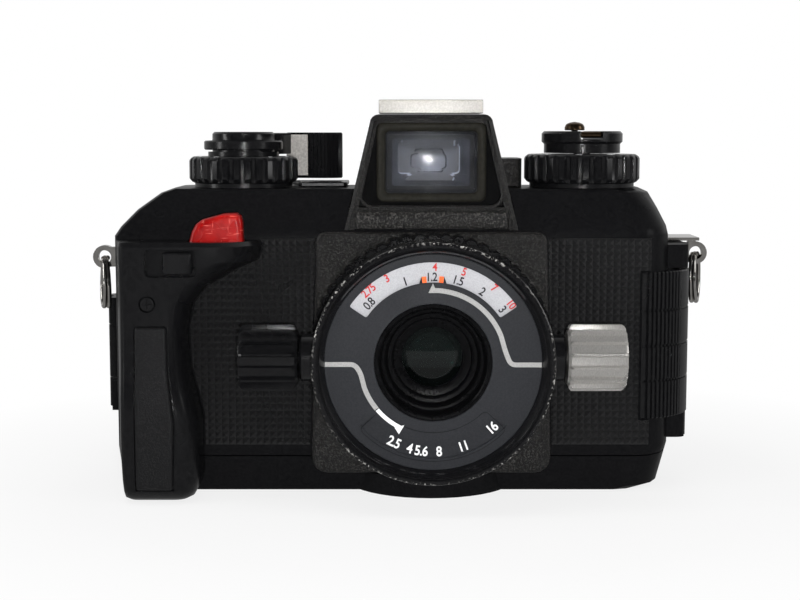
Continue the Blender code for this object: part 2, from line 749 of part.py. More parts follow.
def battery():
    low = CAP_INSET + BASE_CAP_THICKNESS + GAP
    high = low + BATTERY_HEIGHT
    profile = [(0.0, low), (BATTERY_RADIUS * 0.75, low), (BATTERY_RADIUS * 0.75, low + 0.0006),
               (BATTERY_RADIUS, low + 0.0006), (BATTERY_RADIUS, high), (0.0, high)]
    return finish("battery", turned(profile, (BATTERY_X, 0.0), steps=20), plain_steel())


def sync_socket():
    low = CAP_INSET + BASE_CAP_THICKNESS + GAP + 0.0006
    high = 0.0087
    profile = [(0.0, low + 0.0025), (SYNC_SOCKET_RADIUS - 0.0012, low + 0.0025),
               (SYNC_SOCKET_RADIUS - 0.0012, low), (SYNC_SOCKET_RADIUS, low),
               (SYNC_SOCKET_RADIUS, high), (0.0, high)]
    socket = finish("sync_socket", turned(profile, (SYNC_X, 0.0), steps=20), plain_steel())
    for angle in range(20, 380, 120):
        x = SYNC_X + 0.0020 * cos(radians(angle))
        y = 0.0020 * sin(radians(angle))
        add(socket, rod((x, y), 0.0005, low + 0.0006, low + 0.0030, steps=8))
    return socket


# Front

def plate_half(height):
    share = (height - PLATE_BOTTOM) / (PLATE_TOP - PLATE_BOTTOM)
    return PLATE_HALF_BOTTOM + (PLATE_HALF_TOP - PLATE_HALF_BOTTOM) * share


def front_plate():
    back = BODY_FRONT - GAP
    top, low = 0.0023, 0.0040
    outline = rounded(-1.0, 1.0, PLATE_BOTTOM, PLATE_TOP, ((low, low), (low, low), (top, top), (top, top)))
    shaped = []
    for x, z in outline:
        half = plate_half(z)
        shaped.append(((x + 1.0 - half) if x < 0 else (x - 1.0 + half), z))
    inset = 0.0005
    middle = (PLATE_TOP + PLATE_BOTTOM) / 2
    shrink = [(x * (1 - inset / PLATE_HALF_TOP), middle + (z - middle) * (1 - inset / 0.03))
              for x, z in shaped]
    front = back - PLATE_THICKNESS
    plate = skin([[(x, y, z) for x, z in ring]
                  for ring, y in ((shrink, front), (shaped, front + inset), (shaped, back))])
    plate = finish("front_plate", plate, wrinkle_black())
    cut(plate, rod((0.0, LENS_HEIGHT), MOUNT_RING_RADIUS + GAP, front - PAST, back + PAST, "Y", 48))
    return plate


def mount_ring():
    """Bayonet ring, with a spigot that reaches into the casting."""
    seat = BODY_FRONT - GAP
    bore = LENS_TUBE_RADIUS + RUNNING_GAP
    spigot = LENS_THROAT_RADIUS - GAP
    profile = [(bore, MOUNT_RING_FRONT), (MOUNT_RING_RADIUS, MOUNT_RING_FRONT), (MOUNT_RING_RADIUS, seat),
               (spigot, seat), (spigot, MOUNT_RING_BACK), (bore, MOUNT_RING_BACK)]
    return finish("mount_ring", turned(profile, (0.0, LENS_HEIGHT), "Y", 40), plain_steel())


def grip_right(height):
    return between(GRIP_STATIONS, height, 1)


def grip_front(height):
    return between(GRIP_STATIONS, height, 2)


def front_panel(name, outline):
    back = BODY_FRONT - GAP
    return finish(name, prism(outline, back - PANEL_THICKNESS, back, "Y"), rubber_black())


def panel_left():
    edge = RUNNING_GAP
    side = [(grip_right(PANEL_BOTTOM) + edge, PANEL_BOTTOM)]
    side += [(station[1] + edge, station[0]) for station in GRIP_STATIONS
             if PANEL_BOTTOM < station[0] < PANEL_TOP]
    side.append((grip_right(PANEL_TOP) + edge, PANEL_TOP))
    right = [(-plate_half(PANEL_TOP) - edge, PANEL_TOP), (-plate_half(PANEL_BOTTOM) - edge, PANEL_BOTTOM)]
    return front_panel("panel_left", side + right)


def panel_right():
    """Panel with a notch for the front edge of the latch lever."""
    edge = RUNNING_GAP
    notch = latch_arc()[0][0] - edge
    low, high = latch_ends()
    return front_panel("panel_right", [
        (plate_half(PANEL_BOTTOM) + edge, PANEL_BOTTOM), (PANEL_RIGHT, PANEL_BOTTOM),
        (PANEL_RIGHT, low - edge), (notch, low - edge), (notch, high + edge), (PANEL_RIGHT, high + edge),
        (PANEL_RIGHT, PANEL_TOP), (plate_half(PANEL_TOP) + edge, PANEL_TOP)])


def grip_ring(height, right, front, rx, ry):
    back = body_front(height) - GAP
    corners = ((0.0015, 0.0015), (rx, ry), (0.0006, 0.0006), (0.0006, 0.0006))
    left = GRIP_LEFT + between(BODY_STATIONS, height, 1) / 2 if height < FOOT_HEIGHT else GRIP_LEFT
    ring = []
    for x, y in rounded(left, right, front, back, corners, 5):
        lean = GRIP_TAPER * (back - y) / (back - front) if x < left + 0.003 else 0.0
        ring.append((x + lean, y, height))
    return ring


def hand_grip():
    grip = finish("hand_grip", skin([grip_ring(*station) for station in GRIP_STATIONS]), gloss_black())
    x0, x1, z0, z1 = LOCK_RECESS
    front = grip_front(z0)
    cut(grip, prism(rounded_even(x0, x1, z0, z1, 0.0010), front - 0.002, front + LOCK_RECESS_DEPTH, "Y"))
    side = RUNNING_GAP
    pocket_floor = RELEASE_BASE - RELEASE_TRAVEL - GAP
    cut(grip, box(RELEASE_LEFT - side, RELEASE_RIGHT + side, RELEASE_FRONT - side,
                  RELEASE_BACK + side, pocket_floor, GRIP_STATIONS[-1][0] + PAST))
    stem_y = (RELEASE_FRONT + RELEASE_BACK) / 2
    bore_floor = RELEASE_BASE - RELEASE_STEM_LENGTH - RELEASE_TRAVEL - GAP
    cut(grip, rod((RELEASE_STEM_X, stem_y), RELEASE_STEM_RADIUS + side, bore_floor,
                  pocket_floor + PAST, steps=20))
    screw_front = grip_front(GRIP_SCREW[1])
    cut(grip, rod(GRIP_SCREW, GRIP_SCREW_HEAD + GAP, screw_front - PAST, GRIP_SCREW_SEAT, "Y", 24))
    cut(grip, rod(GRIP_SCREW, GRIP_SCREW_SHANK + GAP, GRIP_SCREW_SEAT - GAP, BODY_FRONT + PAST, "Y", 16))
    cut(grip, grip_insert_shape(GAP))
    return grip


def grip_insert_shape(extra):
    """The insert follows the front of the grip; extra widens and deepens it into its seat."""
    bottom, top = INSERT_EDGE[0][0], INSERT_EDGE[-1][0]
    heights = sorted({row[0] for row in GRIP_STATIONS + INSERT_EDGE if bottom <= row[0] <= top})
    rings = []
    for number, height in enumerate(heights):
        right = between(INSERT_EDGE, height, 1)
        front = grip_front(height)
        low = front - INSERT_THICKNESS
        high = front + 0.0006 + extra
        level = height
        if number == 0:
            level -= extra
        if number == len(heights) - 1:
            level += extra
        rings.append([(INSERT_LEFT - extra, low, level), (right + extra, low, level),
                      (right + extra, high, level), (INSERT_LEFT - extra, high, level)])
    return skin(rings)


def grip_insert():
    return finish("grip_insert", grip_insert_shape(0.0), rubber_black())


def grip_screw():
    front = grip_front(GRIP_SCREW[1])
    head_back = GRIP_SCREW_SEAT - GAP
    shank = GRIP_SCREW_SHANK
    profile = [(0.0, front + 0.0002), (GRIP_SCREW_HEAD, front + 0.0002), (GRIP_SCREW_HEAD, head_back),
               (shank, head_back), (shank, GRIP_SCREW_END), (0.0, GRIP_SCREW_END)]
    screw = finish("grip_screw", turned(profile, GRIP_SCREW, "Y", 20), gloss_black())
    x, z = GRIP_SCREW
    for dx, dz in ((0.0011, 0.0002), (0.0002, 0.0011)):
        cut(screw, box(x - dx, x + dx, front - PAST, front + 0.0009, z - dz, z + dz))
    return screw


def release_outline():
    """Front view of the release: its top slopes up to the right."""
    return [(RELEASE_LEFT, RELEASE_BASE), (RELEASE_RIGHT, RELEASE_BASE),
            (RELEASE_RIGHT - 0.0006, RELEASE_TOP - 0.0014), (RELEASE_RIGHT - 0.0020, RELEASE_TOP),
            (RELEASE_RIGHT - 0.0052, RELEASE_TOP - 0.0003), (RELEASE_LEFT + 0.0018, RELEASE_TOP - 0.0031),
            (RELEASE_LEFT + 0.0006, RELEASE_TOP - 0.0046)]


def shutter_release():
    outline = release_outline()
    middle_x = (RELEASE_LEFT + RELEASE_RIGHT) / 2
    inset = 0.0008
    shrunk = []
    for x, z in outline:
        high = 0.0 if z == RELEASE_BASE else inset
        shrunk.append((x - inset * (1 if x > middle_x else -1), z - high))
    steps = ((shrunk, RELEASE_FRONT), (outline, RELEASE_FRONT + inset),
             (outline, RELEASE_BACK - inset), (shrunk, RELEASE_BACK))
    shape = skin([[(x, y, z) for x, z in ring] for ring, y in steps])
    stem_y = (RELEASE_FRONT + RELEASE_BACK) / 2
    origin = (RELEASE_STEM_X, stem_y, RELEASE_BASE)
    release = finish("shutter_release", shape, release_red(), origin)
    add(release, rod((RELEASE_STEM_X, stem_y), RELEASE_STEM_RADIUS, RELEASE_BASE - RELEASE_STEM_LENGTH,
                     RELEASE_BASE + PAST, steps=16))
    return release


def release_lock():
    x0, x1, z0, z1 = LOCK_RECESS
    right = x1 - 0.0009
    left = right - LOCK_WIDTH
    front = grip_front(z0)
    low, high = z0 + 0.0006, z1 - 0.0006
    rings = [rounded_even(left + 0.0005, right - 0.0005, low + 0.0004, high - 0.0004, 0.0005),
             rounded_even(left, right, low, high, 0.0008), rounded_even(left, right, low, high, 0.0008)]
    levels = (front - 0.0006, front - 0.0001, front + LOCK_RECESS_DEPTH - GAP)
    shape = skin([[(x, y, z) for x, z in ring] for ring, y in zip(rings, levels)])
    return finish("release_lock", shape, gloss_black(), (right, front, (z0 + z1) / 2))


# Viewfinder hump

def hump_front(height):
    share = (height - HUMP_BOTTOM) / (HUMP_TOP - HUMP_BOTTOM)
    return HUMP_FRONT_BOTTOM + (HUMP_FRONT_TOP - HUMP_FRONT_BOTTOM) * share


def hump_outline(inset=0.0):
    """Trapezoid with round upper corners, as (x, z) points."""
    top = HUMP_HALF_TOP - inset
    low = HUMP_HALF_BOTTOM - inset
    lean = (low - top) / (HUMP_TOP - HUMP_BOTTOM)
    start = top + lean * HUMP_CORNER
    side = [(start, HUMP_TOP - inset - HUMP_CORNER)]
    for step in range(1, 5):
        angle = step / 4 * pi / 2
        side.append((start - HUMP_CORNER + HUMP_CORNER * cos(angle),
                     HUMP_TOP - inset - HUMP_CORNER + HUMP_CORNER * sin(angle)))
    mirrored = [(-x, z) for x, z in reversed(side)]
    return [(-low, HUMP_BOTTOM), (low, HUMP_BOTTOM)] + side + mirrored


def over_shoulder():
    """Room that the casting takes under the hump, seen from the side."""
    low = SHOULDER_HEIGHT - PAST
    far = HUMP_BACK + PAST
    ledge = FINDER_LEDGE_HEIGHT + GAP
    heights = [row[0] for row in BODY_STATIONS if SHOULDER_HEIGHT <= row[0] < ledge] + [ledge]
    wall = FINDER_LEDGE_BACK - GAP
    slope = [(body_front(height) - GAP, height) for height in heights]
    return [(slope[0][0], low)] + slope + [(wall, ledge), (wall, BODY_TOP + GAP), (far, BODY_TOP + GAP),
                                           (far, low)]


def hump_half(height):
    """Half width of the hump at a height, with no rounding."""
    share = (height - HUMP_BOTTOM) / (HUMP_TOP - HUMP_BOTTOM)
    return HUMP_HALF_BOTTOM + (HUMP_HALF_TOP - HUMP_HALF_BOTTOM) * share


def hump_notch():
    """Step in the casting that the hump's front sits in."""
    top = BODY_TOP + 0.001
    low_half = hump_half(FINDER_LEDGE_HEIGHT) + GAP
    top_half = hump_half(top) + GAP
    outline = [(-low_half, FINDER_LEDGE_HEIGHT), (low_half, FINDER_LEDGE_HEIGHT), (top_half, top),
               (-top_half, top)]
    return prism(outline, BODY_FRONT - PAST, FINDER_LEDGE_BACK, "Y")


def finder_housing():
    outline = hump_outline()
    slimmer = hump_outline(0.0008)
    rings = [[(x, hump_front(z), z) for x, z in slimmer],
             [(x, hump_front(z) + 0.0008, z) for x, z in outline],
             [(x, HUMP_BACK - 0.0010, z) for x, z in outline],
             [(x, HUMP_BACK, z) for x, z in slimmer]]
    hump = finish("finder_housing", skin(rings), wrinkle_black())
    add(hump, prism(rounded_even(*SIDE_BLOCK, 0.0015), BODY_TOP, SIDE_BLOCK_TOP))
    cut(hump, prism(over_shoulder(), -HUMP_HALF_BOTTOM - PAST, HUMP_HALF_BOTTOM + PAST, "X"))
    low_half, high_half, low, high = FINDER_RECESS
    lean = [(-low_half, low), (low_half, low), (high_half, high), (-high_half, high)]
    cut(hump, prism(lean, HUMP_FRONT_BOTTOM - PAST, FINDER_RECESS_FLOOR, "Y"))
    cut(hump, box(-TUNNEL_HALF_WIDTH, TUNNEL_HALF_WIDTH, FINDER_RECESS_FLOOR - PAST,
                  HUMP_BACK - EYEPIECE_DEPTH, BODY_TOP - PAST, TUNNEL_TOP))
    outer = rounded_even(-EYEPIECE_HALF_WIDTH - EYEPIECE_RIM, EYEPIECE_HALF_WIDTH + EYEPIECE_RIM,
                         EYEPIECE_Z - EYEPIECE_HALF_HEIGHT - EYEPIECE_RIM,
                         EYEPIECE_Z + EYEPIECE_HALF_HEIGHT + EYEPIECE_RIM, 0.0020)
    add(hump, prism(outer, HUMP_BACK - 0.0020, HUMP_BACK + EYEPIECE_DEPTH, "Y"))
    inner = rounded_even(-EYEPIECE_HALF_WIDTH, EYEPIECE_HALF_WIDTH, EYEPIECE_Z - EYEPIECE_HALF_HEIGHT,
                         EYEPIECE_Z + EYEPIECE_HALF_HEIGHT, 0.0010)
    cut(hump, prism(inner, HUMP_BACK - 0.0040, HUMP_BACK + EYEPIECE_DEPTH + PAST, "Y"))
    cut(hump, box(-NAME_PLATE_HALF - GAP, NAME_PLATE_HALF + GAP, HUMP_FRONT_BOTTOM - PAST,
                  hump_front(NAME_PLATE_TOP) + NAME_PLATE_DEPTH + GAP, HUMP_BOTTOM - PAST,
                  NAME_PLATE_TOP + GAP))
    return hump


def finder_bezel():
    ring = rounded_even(-FRAME_HALF_WIDTH, FRAME_HALF_WIDTH, FRAME_BOTTOM, FRAME_TOP, 0.0012)
    back = FINDER_RECESS_FLOOR - GAP
    bezel = finish("finder_bezel", prism(ring, FRAME_FRONT, back, "Y"), gloss_black())
    hole = rounded_even(-FRAME_HALF_WIDTH + FRAME_LIP, FRAME_HALF_WIDTH - FRAME_LIP,
                        FRAME_BOTTOM + FRAME_LIP, FRAME_TOP - FRAME_LIP, 0.0010)
    cut(bezel, prism(hole, FRAME_FRONT - PAST, back + PAST, "Y"))
    return bezel


def finder_window():
    lip = FRAME_LIP + GAP
    pane = rounded_even(-FRAME_HALF_WIDTH + lip, FRAME_HALF_WIDTH - lip, FRAME_BOTTOM + lip,
                        FRAME_TOP - lip, 0.0008)
    front = FRAME_FRONT + 0.0004
    return finish("finder_window", prism(pane, front, front + WINDOW_THICKNESS, "Y"), clear_glass())


def eyepiece_lens():
    half, tall = EYEPIECE_HALF_WIDTH - GAP, EYEPIECE_HALF_HEIGHT - GAP
    pane = rounded_even(-half, half, EYEPIECE_Z - tall, EYEPIECE_Z + tall, 0.0008)
    back = HUMP_BACK + EYEPIECE_DEPTH - 0.0008
    return finish("eyepiece_lens", prism(pane, back - 0.0020, back, "Y"), clear_glass())


def name_plate():
    """Bare plate that leans with the hump's front."""
    back = hump_front(NAME_PLATE_TOP) + NAME_PLATE_DEPTH
    rings = []
    for z in (NAME_PLATE_BOTTOM, NAME_PLATE_TOP):
        front = hump_front(z) - NAME_PLATE_PROUD
        rings.append([(-NAME_PLATE_HALF, front, z), (NAME_PLATE_HALF, front, z),
                      (NAME_PLATE_HALF, back, z), (-NAME_PLATE_HALF, back, z)])
    return finish("name_plate", skin(rings), wrinkle_black())


def accessory_shoe():
    low = HUMP_TOP + GAP
    shoe = finish("accessory_shoe", box(-SHOE_HALF_WIDTH, SHOE_HALF_WIDTH, SHOE_FRONT, SHOE_BACK, low,
                                        SHOE_TOP), bright_aluminium())
    wall = 0.0010
    cut(shoe, box(-SHOE_SLOT_HALF, SHOE_SLOT_HALF, SHOE_FRONT + wall, SHOE_BACK + PAST,
                  low + SHOE_BASE, SHOE_TOP - SHOE_LIP))
    cut(shoe, box(-SHOE_MOUTH_HALF, SHOE_MOUTH_HALF, SHOE_FRONT + wall, SHOE_BACK + PAST,
                  low + SHOE_BASE, SHOE_TOP + PAST))
    return shoe


def circuit_board():
    x0, x1, y0, y1 = BOARD_ROOM
    low = BOARD_FLOOR + GAP
    top = low + BOARD_THICKNESS
    outline = rounded_even(x0 + BOARD_MARGIN, x1 - BOARD_MARGIN, y0 + BOARD_MARGIN, y1 - BOARD_MARGIN,
                           0.0010)
    board = finish("circuit_board", prism(outline, low, top), board_green())
    for x, y, half, depth, height in BOARD_CHIPS:
        add(board, box(x - half, x + half, y - depth / 2, y + depth / 2, low + BOARD_THICKNESS / 2,
                       top + height))
    return board


# Dials and levers on the top plate

def fluted_dial(name, x, radius, top, hole):
    """Knurled dial ring on a plain foot."""
    seat = BODY_TOP + GAP
    root = radius - DIAL_FLUTE_DEPTH
    foot = radius - 0.0014
    levels = ((seat, foot, foot), (seat + 0.0010, foot, foot), (seat + 0.0018, radius, root),
              (top - 0.0009, radius, root), (top, radius - 0.0009, root - 0.0006))
    rings = [[(a, b, z) for a, b in zigzag(DIAL_FLUTES, tip, low, (x, 0.0))]
             for z, tip, low in levels]
    dial = finish(name, skin(rings), gloss_black(), (x, 0.0, seat))
    cut(dial, rod((x, 0.0), hole, seat - PAST, top + PAST))
    return dial


def lever_tip_outline():
    """Plan of the thumb block, which hangs outside the dial."""
    offsets = [(0.0102, 0.0104), (0.0157, 0.0084), (0.0208, 0.0076), (0.0239, 0.0084),
               (0.0251, 0.0108), (0.0241, 0.0140), (0.0183, 0.0163), (0.0101, 0.0168)]
    return [(TAKE_UP_X + x, y) for x, y in offsets]


def lever_arm_outline():
    """Plan of the arm from the hub to the thumb block."""
    offsets = [(0.0036, -0.0030), (0.0081, 0.0020), (0.0114, 0.0098), (0.0146, 0.0120),
               (0.0111, 0.0160), (0.0006, 0.0050)]
    return [(TAKE_UP_X + x, y) for x, y in offsets]


def advance_lever():
    low = SPEED_DIAL_TOP + GAP
    neck_top = low + 0.0011
    groove_top = neck_top + 0.0004
    cap_low = LEVER_TOP - 0.0020
    profile = [(0.0, TAKE_UP_TOP + RUNNING_GAP), (ADVANCE_SHAFT_RADIUS, TAKE_UP_TOP + RUNNING_GAP),
               (ADVANCE_SHAFT_RADIUS, low), (LEVER_NECK_RADIUS, low), (LEVER_NECK_RADIUS, neck_top),
               (LEVER_CAP_RADIUS, neck_top), (LEVER_CAP_RADIUS, groove_top), (LEVER_HUB_RADIUS, groove_top),
               (LEVER_HUB_RADIUS, cap_low - 0.0003), (LEVER_CAP_RADIUS, cap_low),
               (LEVER_CAP_RADIUS, LEVER_TOP - 0.0005), (LEVER_CAP_RADIUS - 0.0005, LEVER_TOP),
               (0.0, LEVER_TOP)]
    hub = turned(profile, (TAKE_UP_X, 0.0), steps=32)
    lever = finish("advance_lever", hub, gloss_black(), (TAKE_UP_X, 0.0, low))
    add(lever, prism(lever_tip_outline(), LEVER_TIP_BOTTOM, LEVER_TOP - 0.0001))
    add(lever, prism(lever_arm_outline(), LEVER_ARM_BOTTOM, LEVER_TOP - 0.0002))
    return lever


def counter_bezel():
    seat = BODY_TOP + GAP
    outline = rounded_even(*COUNTER_BEZEL, 0.0012)
    bezel = finish("counter_bezel", prism(outline, seat, BEZEL_TOP), gloss_black())
    cut(bezel, rod((SPEED_DIAL_X, 0.0), SPEED_DIAL_RADIUS + 0.0006, seat - PAST, BEZEL_TOP + PAST,
                   steps=48))
    cut(bezel, rod((COUNTER_X, COUNTER_Y), COUNTER_WINDOW_RADIUS, seat - PAST, BEZEL_TOP + PAST))
    return bezel


def counter_dial():
    low = BODY_TOP - 0.0019
    high = BODY_TOP - 0.0004
    profile = [(0.0, low), (COUNTER_RADIUS, low), (COUNTER_RADIUS, high), (0.0, high)]
    shape = turned(profile, (COUNTER_X, COUNTER_Y), steps=24)
    return finish("counter_dial", shape, scale_white(), (COUNTER_X, COUNTER_Y, low))


def take_up_spool():
    low = TAKE_UP_BOTTOM + GAP
    high = TAKE_UP_TOP - GAP
    profile = [(0.0, low), (SPOOL_FLANGE, low), (SPOOL_FLANGE, low + 0.0012),
               (SPOOL_RADIUS, low + 0.0014), (SPOOL_RADIUS, high - 0.0014), (SPOOL_FLANGE, high - 0.0012),
               (SPOOL_FLANGE, high), (0.0, high)]
    spool = finish("take_up_spool", turned(profile, (TAKE_UP_X, 0.0), steps=24), gloss_black(),
                   (TAKE_UP_X, 0.0, low))
    slot = SPOOL_SLOT_HALF
    for angle in range(40, 400, 90):
        x = TAKE_UP_X + SPOOL_RADIUS * cos(radians(angle))
        y = SPOOL_RADIUS * sin(radians(angle))
        cut(spool, box(x - slot, x + slot, y - slot, y + slot, LENS_HEIGHT - SPOOL_SLOT_REACH,
                       LENS_HEIGHT + SPOOL_SLOT_REACH))
    return spool


def sprocket():
    low = TAKE_UP_BOTTOM + GAP
    high = TAKE_UP_TOP - GAP
    teeth = (LENS_HEIGHT - SPROCKET_ROW, LENS_HEIGHT + SPROCKET_ROW)
    profile = [(0.0, low), (SPROCKET_RADIUS, low), (SPROCKET_RADIUS, teeth[0] + 0.0020),
               (SPROCKET_WAIST, teeth[0] + 0.0030), (SPROCKET_WAIST, teeth[1] - 0.0030),
               (SPROCKET_RADIUS, teeth[1] - 0.0020), (SPROCKET_RADIUS, high), (0.0, high)]
    centre = (SPROCKET_X, SPROCKET_Y)
    wheel = finish("sprocket", turned(profile, centre, steps=20), plain_steel(), (*centre, low))
    for level in teeth:
        outline = toothed(SPROCKET_TEETH, SPROCKET_RADIUS + SPROCKET_TOOTH, SPROCKET_RADIUS - 0.0005,
                          0.16, centre)
        add(wheel, prism(outline, level - SPROCKET_TOOTH_HALF, level + SPROCKET_TOOTH_HALF))
    return wheel


def sleeve_inner():
    return REWIND_SHAFT_RADIUS + GAP


def sleeve_outer():
    return sleeve_inner() + SLEEVE_WALL


def rewind_sleeve():
    low = CARTRIDGE_TOP + GAP
    high = FILM_SPEED_DIAL_TOP - 0.0002
    profile = [(sleeve_inner(), low), (sleeve_outer(), low), (sleeve_outer(), high), (sleeve_inner(), high)]
    return finish("rewind_sleeve", turned(profile, (CARTRIDGE_X, 0.0), steps=20), plain_steel(),
                  (CARTRIDGE_X, 0.0, low))


def crank_frame(shape):
    """Turns a shape drawn along -Y about the rewind axis to the crank's resting angle."""
    turn = Matrix.Rotation(CRANK_ANGLE, 4, "Z")
    bmesh.ops.transform(shape, matrix=turn, verts=shape.verts)
    bmesh.ops.translate(shape, verts=shape.verts, vec=(CARTRIDGE_X, 0.0, 0.0))
    return shape


def crank_point(x, y):
    turn = Matrix.Rotation(CRANK_ANGLE, 4, "Z")
    return turn @ Vector((x, y, 0.0)) + Vector((CARTRIDGE_X, 0.0, 0.0))


def rewind_knob():
    """Knob, shaft and the fork that turns the cartridge spool."""
    low = FILM_SPEED_DIAL_TOP + GAP
    profile = [(0.0, REWIND_SHAFT_BOTTOM), (REWIND_SHAFT_RADIUS, REWIND_SHAFT_BOTTOM),
               (REWIND_SHAFT_RADIUS, low), (REWIND_NECK_RADIUS, low), (REWIND_NECK_RADIUS, low + 0.0023),
               (REWIND_RADIUS, low + 0.0029), (REWIND_RADIUS, REWIND_TOP - 0.0006),
               (REWIND_RADIUS - 0.0006, REWIND_TOP), (0.0, REWIND_TOP)]
    shape = turned(profile, (CARTRIDGE_X, 0.0), steps=32)
    knob = finish("rewind_knob", shape, gloss_black(), (CARTRIDGE_X, 0.0, low))
    cut(knob, box(CARTRIDGE_X - 0.0007, CARTRIDGE_X + 0.0007, -0.003, 0.003, REWIND_SHAFT_BOTTOM - PAST,
                  REWIND_SHAFT_BOTTOM + 0.0035))
    side = CRANK_HALF_WIDTH + RUNNING_GAP
    floor = CRANK_TOP - CRANK_THICKNESS - RUNNING_GAP
    far = CRANK_LENGTH - CRANK_PIVOT + CRANK_HALF_WIDTH + RUNNING_GAP
    cut(knob, crank_frame(box(-side, side, -REWIND_RADIUS - PAST, far, floor, REWIND_TOP + PAST)))
    pin_reach = CRANK_HALF_WIDTH + CRANK_PIN_REACH + 2 * GAP
    cut(knob, crank_frame(rod((-CRANK_PIVOT, CRANK_PIN_Z), CRANK_PIN_RADIUS + GAP, -pin_reach, pin_reach,
                              "X", 12)))
    return knob


def crank_arm_outline():
    """Side view of the crank, round at its pivot, as (y, z)."""
    radius = CRANK_THICKNESS / 2
    turns = [radians(90 + 180 * i / 6) for i in range(7)]
    end = [(-CRANK_PIVOT + radius * cos(t), CRANK_PIN_Z + radius * sin(t)) for t in turns]
    far = CRANK_LENGTH - CRANK_PIVOT + CRANK_HALF_WIDTH
    return end + [(far, CRANK_TOP - CRANK_THICKNESS), (far, CRANK_TOP)]


def rewind_crank():
    pivot = crank_point(0.0, -CRANK_PIVOT)
    arm = crank_frame(prism(crank_arm_outline(), -CRANK_HALF_WIDTH, CRANK_HALF_WIDTH, "X"))
    crank = finish("rewind_crank", arm, bronze(), (pivot.x, pivot.y, CRANK_PIN_Z))
    reach = CRANK_HALF_WIDTH + CRANK_PIN_REACH
    add(crank, crank_frame(rod((-CRANK_PIVOT, CRANK_PIN_Z), CRANK_PIN_RADIUS, -reach, reach, "X", 12)))
    handle = crank_point(0.0, CRANK_LENGTH - CRANK_PIVOT)
    cut(crank, rod((handle.x, handle.y), HANDLE_STEM_RADIUS + GAP, CRANK_TOP - CRANK_THICKNESS - PAST,
                   CRANK_TOP + PAST, steps=16))
    return crank


def crank_handle():
    centre = crank_point(0.0, CRANK_LENGTH - CRANK_PIVOT)
    low = CRANK_TOP + GAP
    radius = CRANK_HANDLE_RADIUS
    stem = CRANK_TOP - CRANK_THICKNESS + GAP
    profile = [(0.0, stem), (HANDLE_STEM_RADIUS, stem), (HANDLE_STEM_RADIUS, low), (radius, low),
               (radius, low + 0.0008), (radius * 0.85, low + 0.0016),
               (radius * 0.5, CRANK_HANDLE_TOP - 0.0002), (0.0, CRANK_HANDLE_TOP)]
    return finish("crank_handle", turned(profile, (centre.x, centre.y), steps=16), bronze(),
                  (centre.x, centre.y, low))


# Back door, hinge and latch

def back_door():
    front = DOOR_SEAT + GAP
    back = front + DOOR_THICKNESS
    corners = (DOOR_CORNER, DOOR_CORNER, DOOR_CORNER, DOOR_TOP_LEFT_CORNER)
    outline = rounded(DOOR_LEFT, DOOR_RIGHT, DOOR_BOTTOM, DOOR_TOP, [(r, r) for r in corners])
    corners = [r - DOOR_BEVEL for r in corners]
    inner = rounded(DOOR_LEFT + DOOR_BEVEL, DOOR_RIGHT - DOOR_BEVEL, DOOR_BOTTOM + DOOR_BEVEL,
                    DOOR_TOP - DOOR_BEVEL, [(r, r) for r in corners])
    levels = ((outline, front), (outline, back - DOOR_BEVEL), (inner, back))
    shape = skin([[(x, y, z) for x, z in ring] for ring, y in levels])
    door = finish("back_door", shape, gloss_black(), (HINGE_X, HINGE_Y, LENS_HEIGHT))
    low, high = hinge_span("middle")
    add(door, box(HINGE_X, DOOR_LEFT + 0.002, HINGE_Y - 0.0022, HINGE_Y + 0.0026, low, high))
    add(door, rod((HINGE_X, HINGE_Y), HINGE_RADIUS, low, high, steps=24))
    cut(door, rod((HINGE_X, HINGE_Y), HINGE_PIN_RADIUS + GAP, low - PAST, high + PAST, steps=16))
    groove_floor = front + 2 * SEAL_RADIUS + 0.0006
    reach = SEAL_RADIUS + GAP
    groove = prism(seal_outline(reach), front - PAST, groove_floor, "Y")
    island = prism(seal_outline(-reach), front, groove_floor + 0.0005, "Y")
    cut(door, groove)
    add(door, island)
    x0, x1, z0, z1 = pressure_plate_box()
    room = PRESSURE_POCKET_ROOM
    floor = front + PRESSURE_POCKET_DEPTH
    cut(door, box(x0 - room, x1 + room, front - PAST, floor, z0 - room, z1 + room))
    for point in pressure_pins():
        add(door, rod(point, PRESSURE_PIN_RADIUS, pressure_plate_front() + GAP, floor + 0.0005, "Y", 12))
    return door


def seal_outline(offset):
    left = FILM_POCKET_LEFT - SEAL_MARGIN_X - offset
    right = FILM_POCKET_RIGHT + SEAL_MARGIN_X + offset
    low = LENS_HEIGHT - FILM_POCKET_HEIGHT / 2 - SEAL_MARGIN_Z - offset
    high = LENS_HEIGHT + FILM_POCKET_HEIGHT / 2 + SEAL_MARGIN_Z - 0.0005 + offset
    return rounded_even(left, right, low, high, 0.0040 + offset, 5)


def door_seal():
    y = DOOR_SEAT + GAP + SEAL_RADIUS + GAP
    path = [(x, y, z) for x, z in seal_outline(0.0)]
    return finish("door_seal", loop_tube(path, (0.0, 1.0, 0.0), SEAL_RADIUS, 6), rubber_black())


def pressure_plate_box():
    return (PRESSURE_PLATE_LEFT, PRESSURE_PLATE_RIGHT, LENS_HEIGHT - PRESSURE_PLATE_HALF_HEIGHT,
            LENS_HEIGHT + PRESSURE_PLATE_HALF_HEIGHT)


def pressure_plate_front():
    return FILM_POCKET_FLOOR + GAP + GATE_THICKNESS + RAIL_HEIGHT + FILM_ROOM


def pressure_pins():
    """Where the four guide pins of the door pass through the plate, as (x, z)."""
    x0, x1, z0, z1 = pressure_plate_box()
    inset = PRESSURE_PIN_INSET
    return [(x, z) for x in (x0 + inset, x1 - inset) for z in (z0 + inset, z1 - inset)]


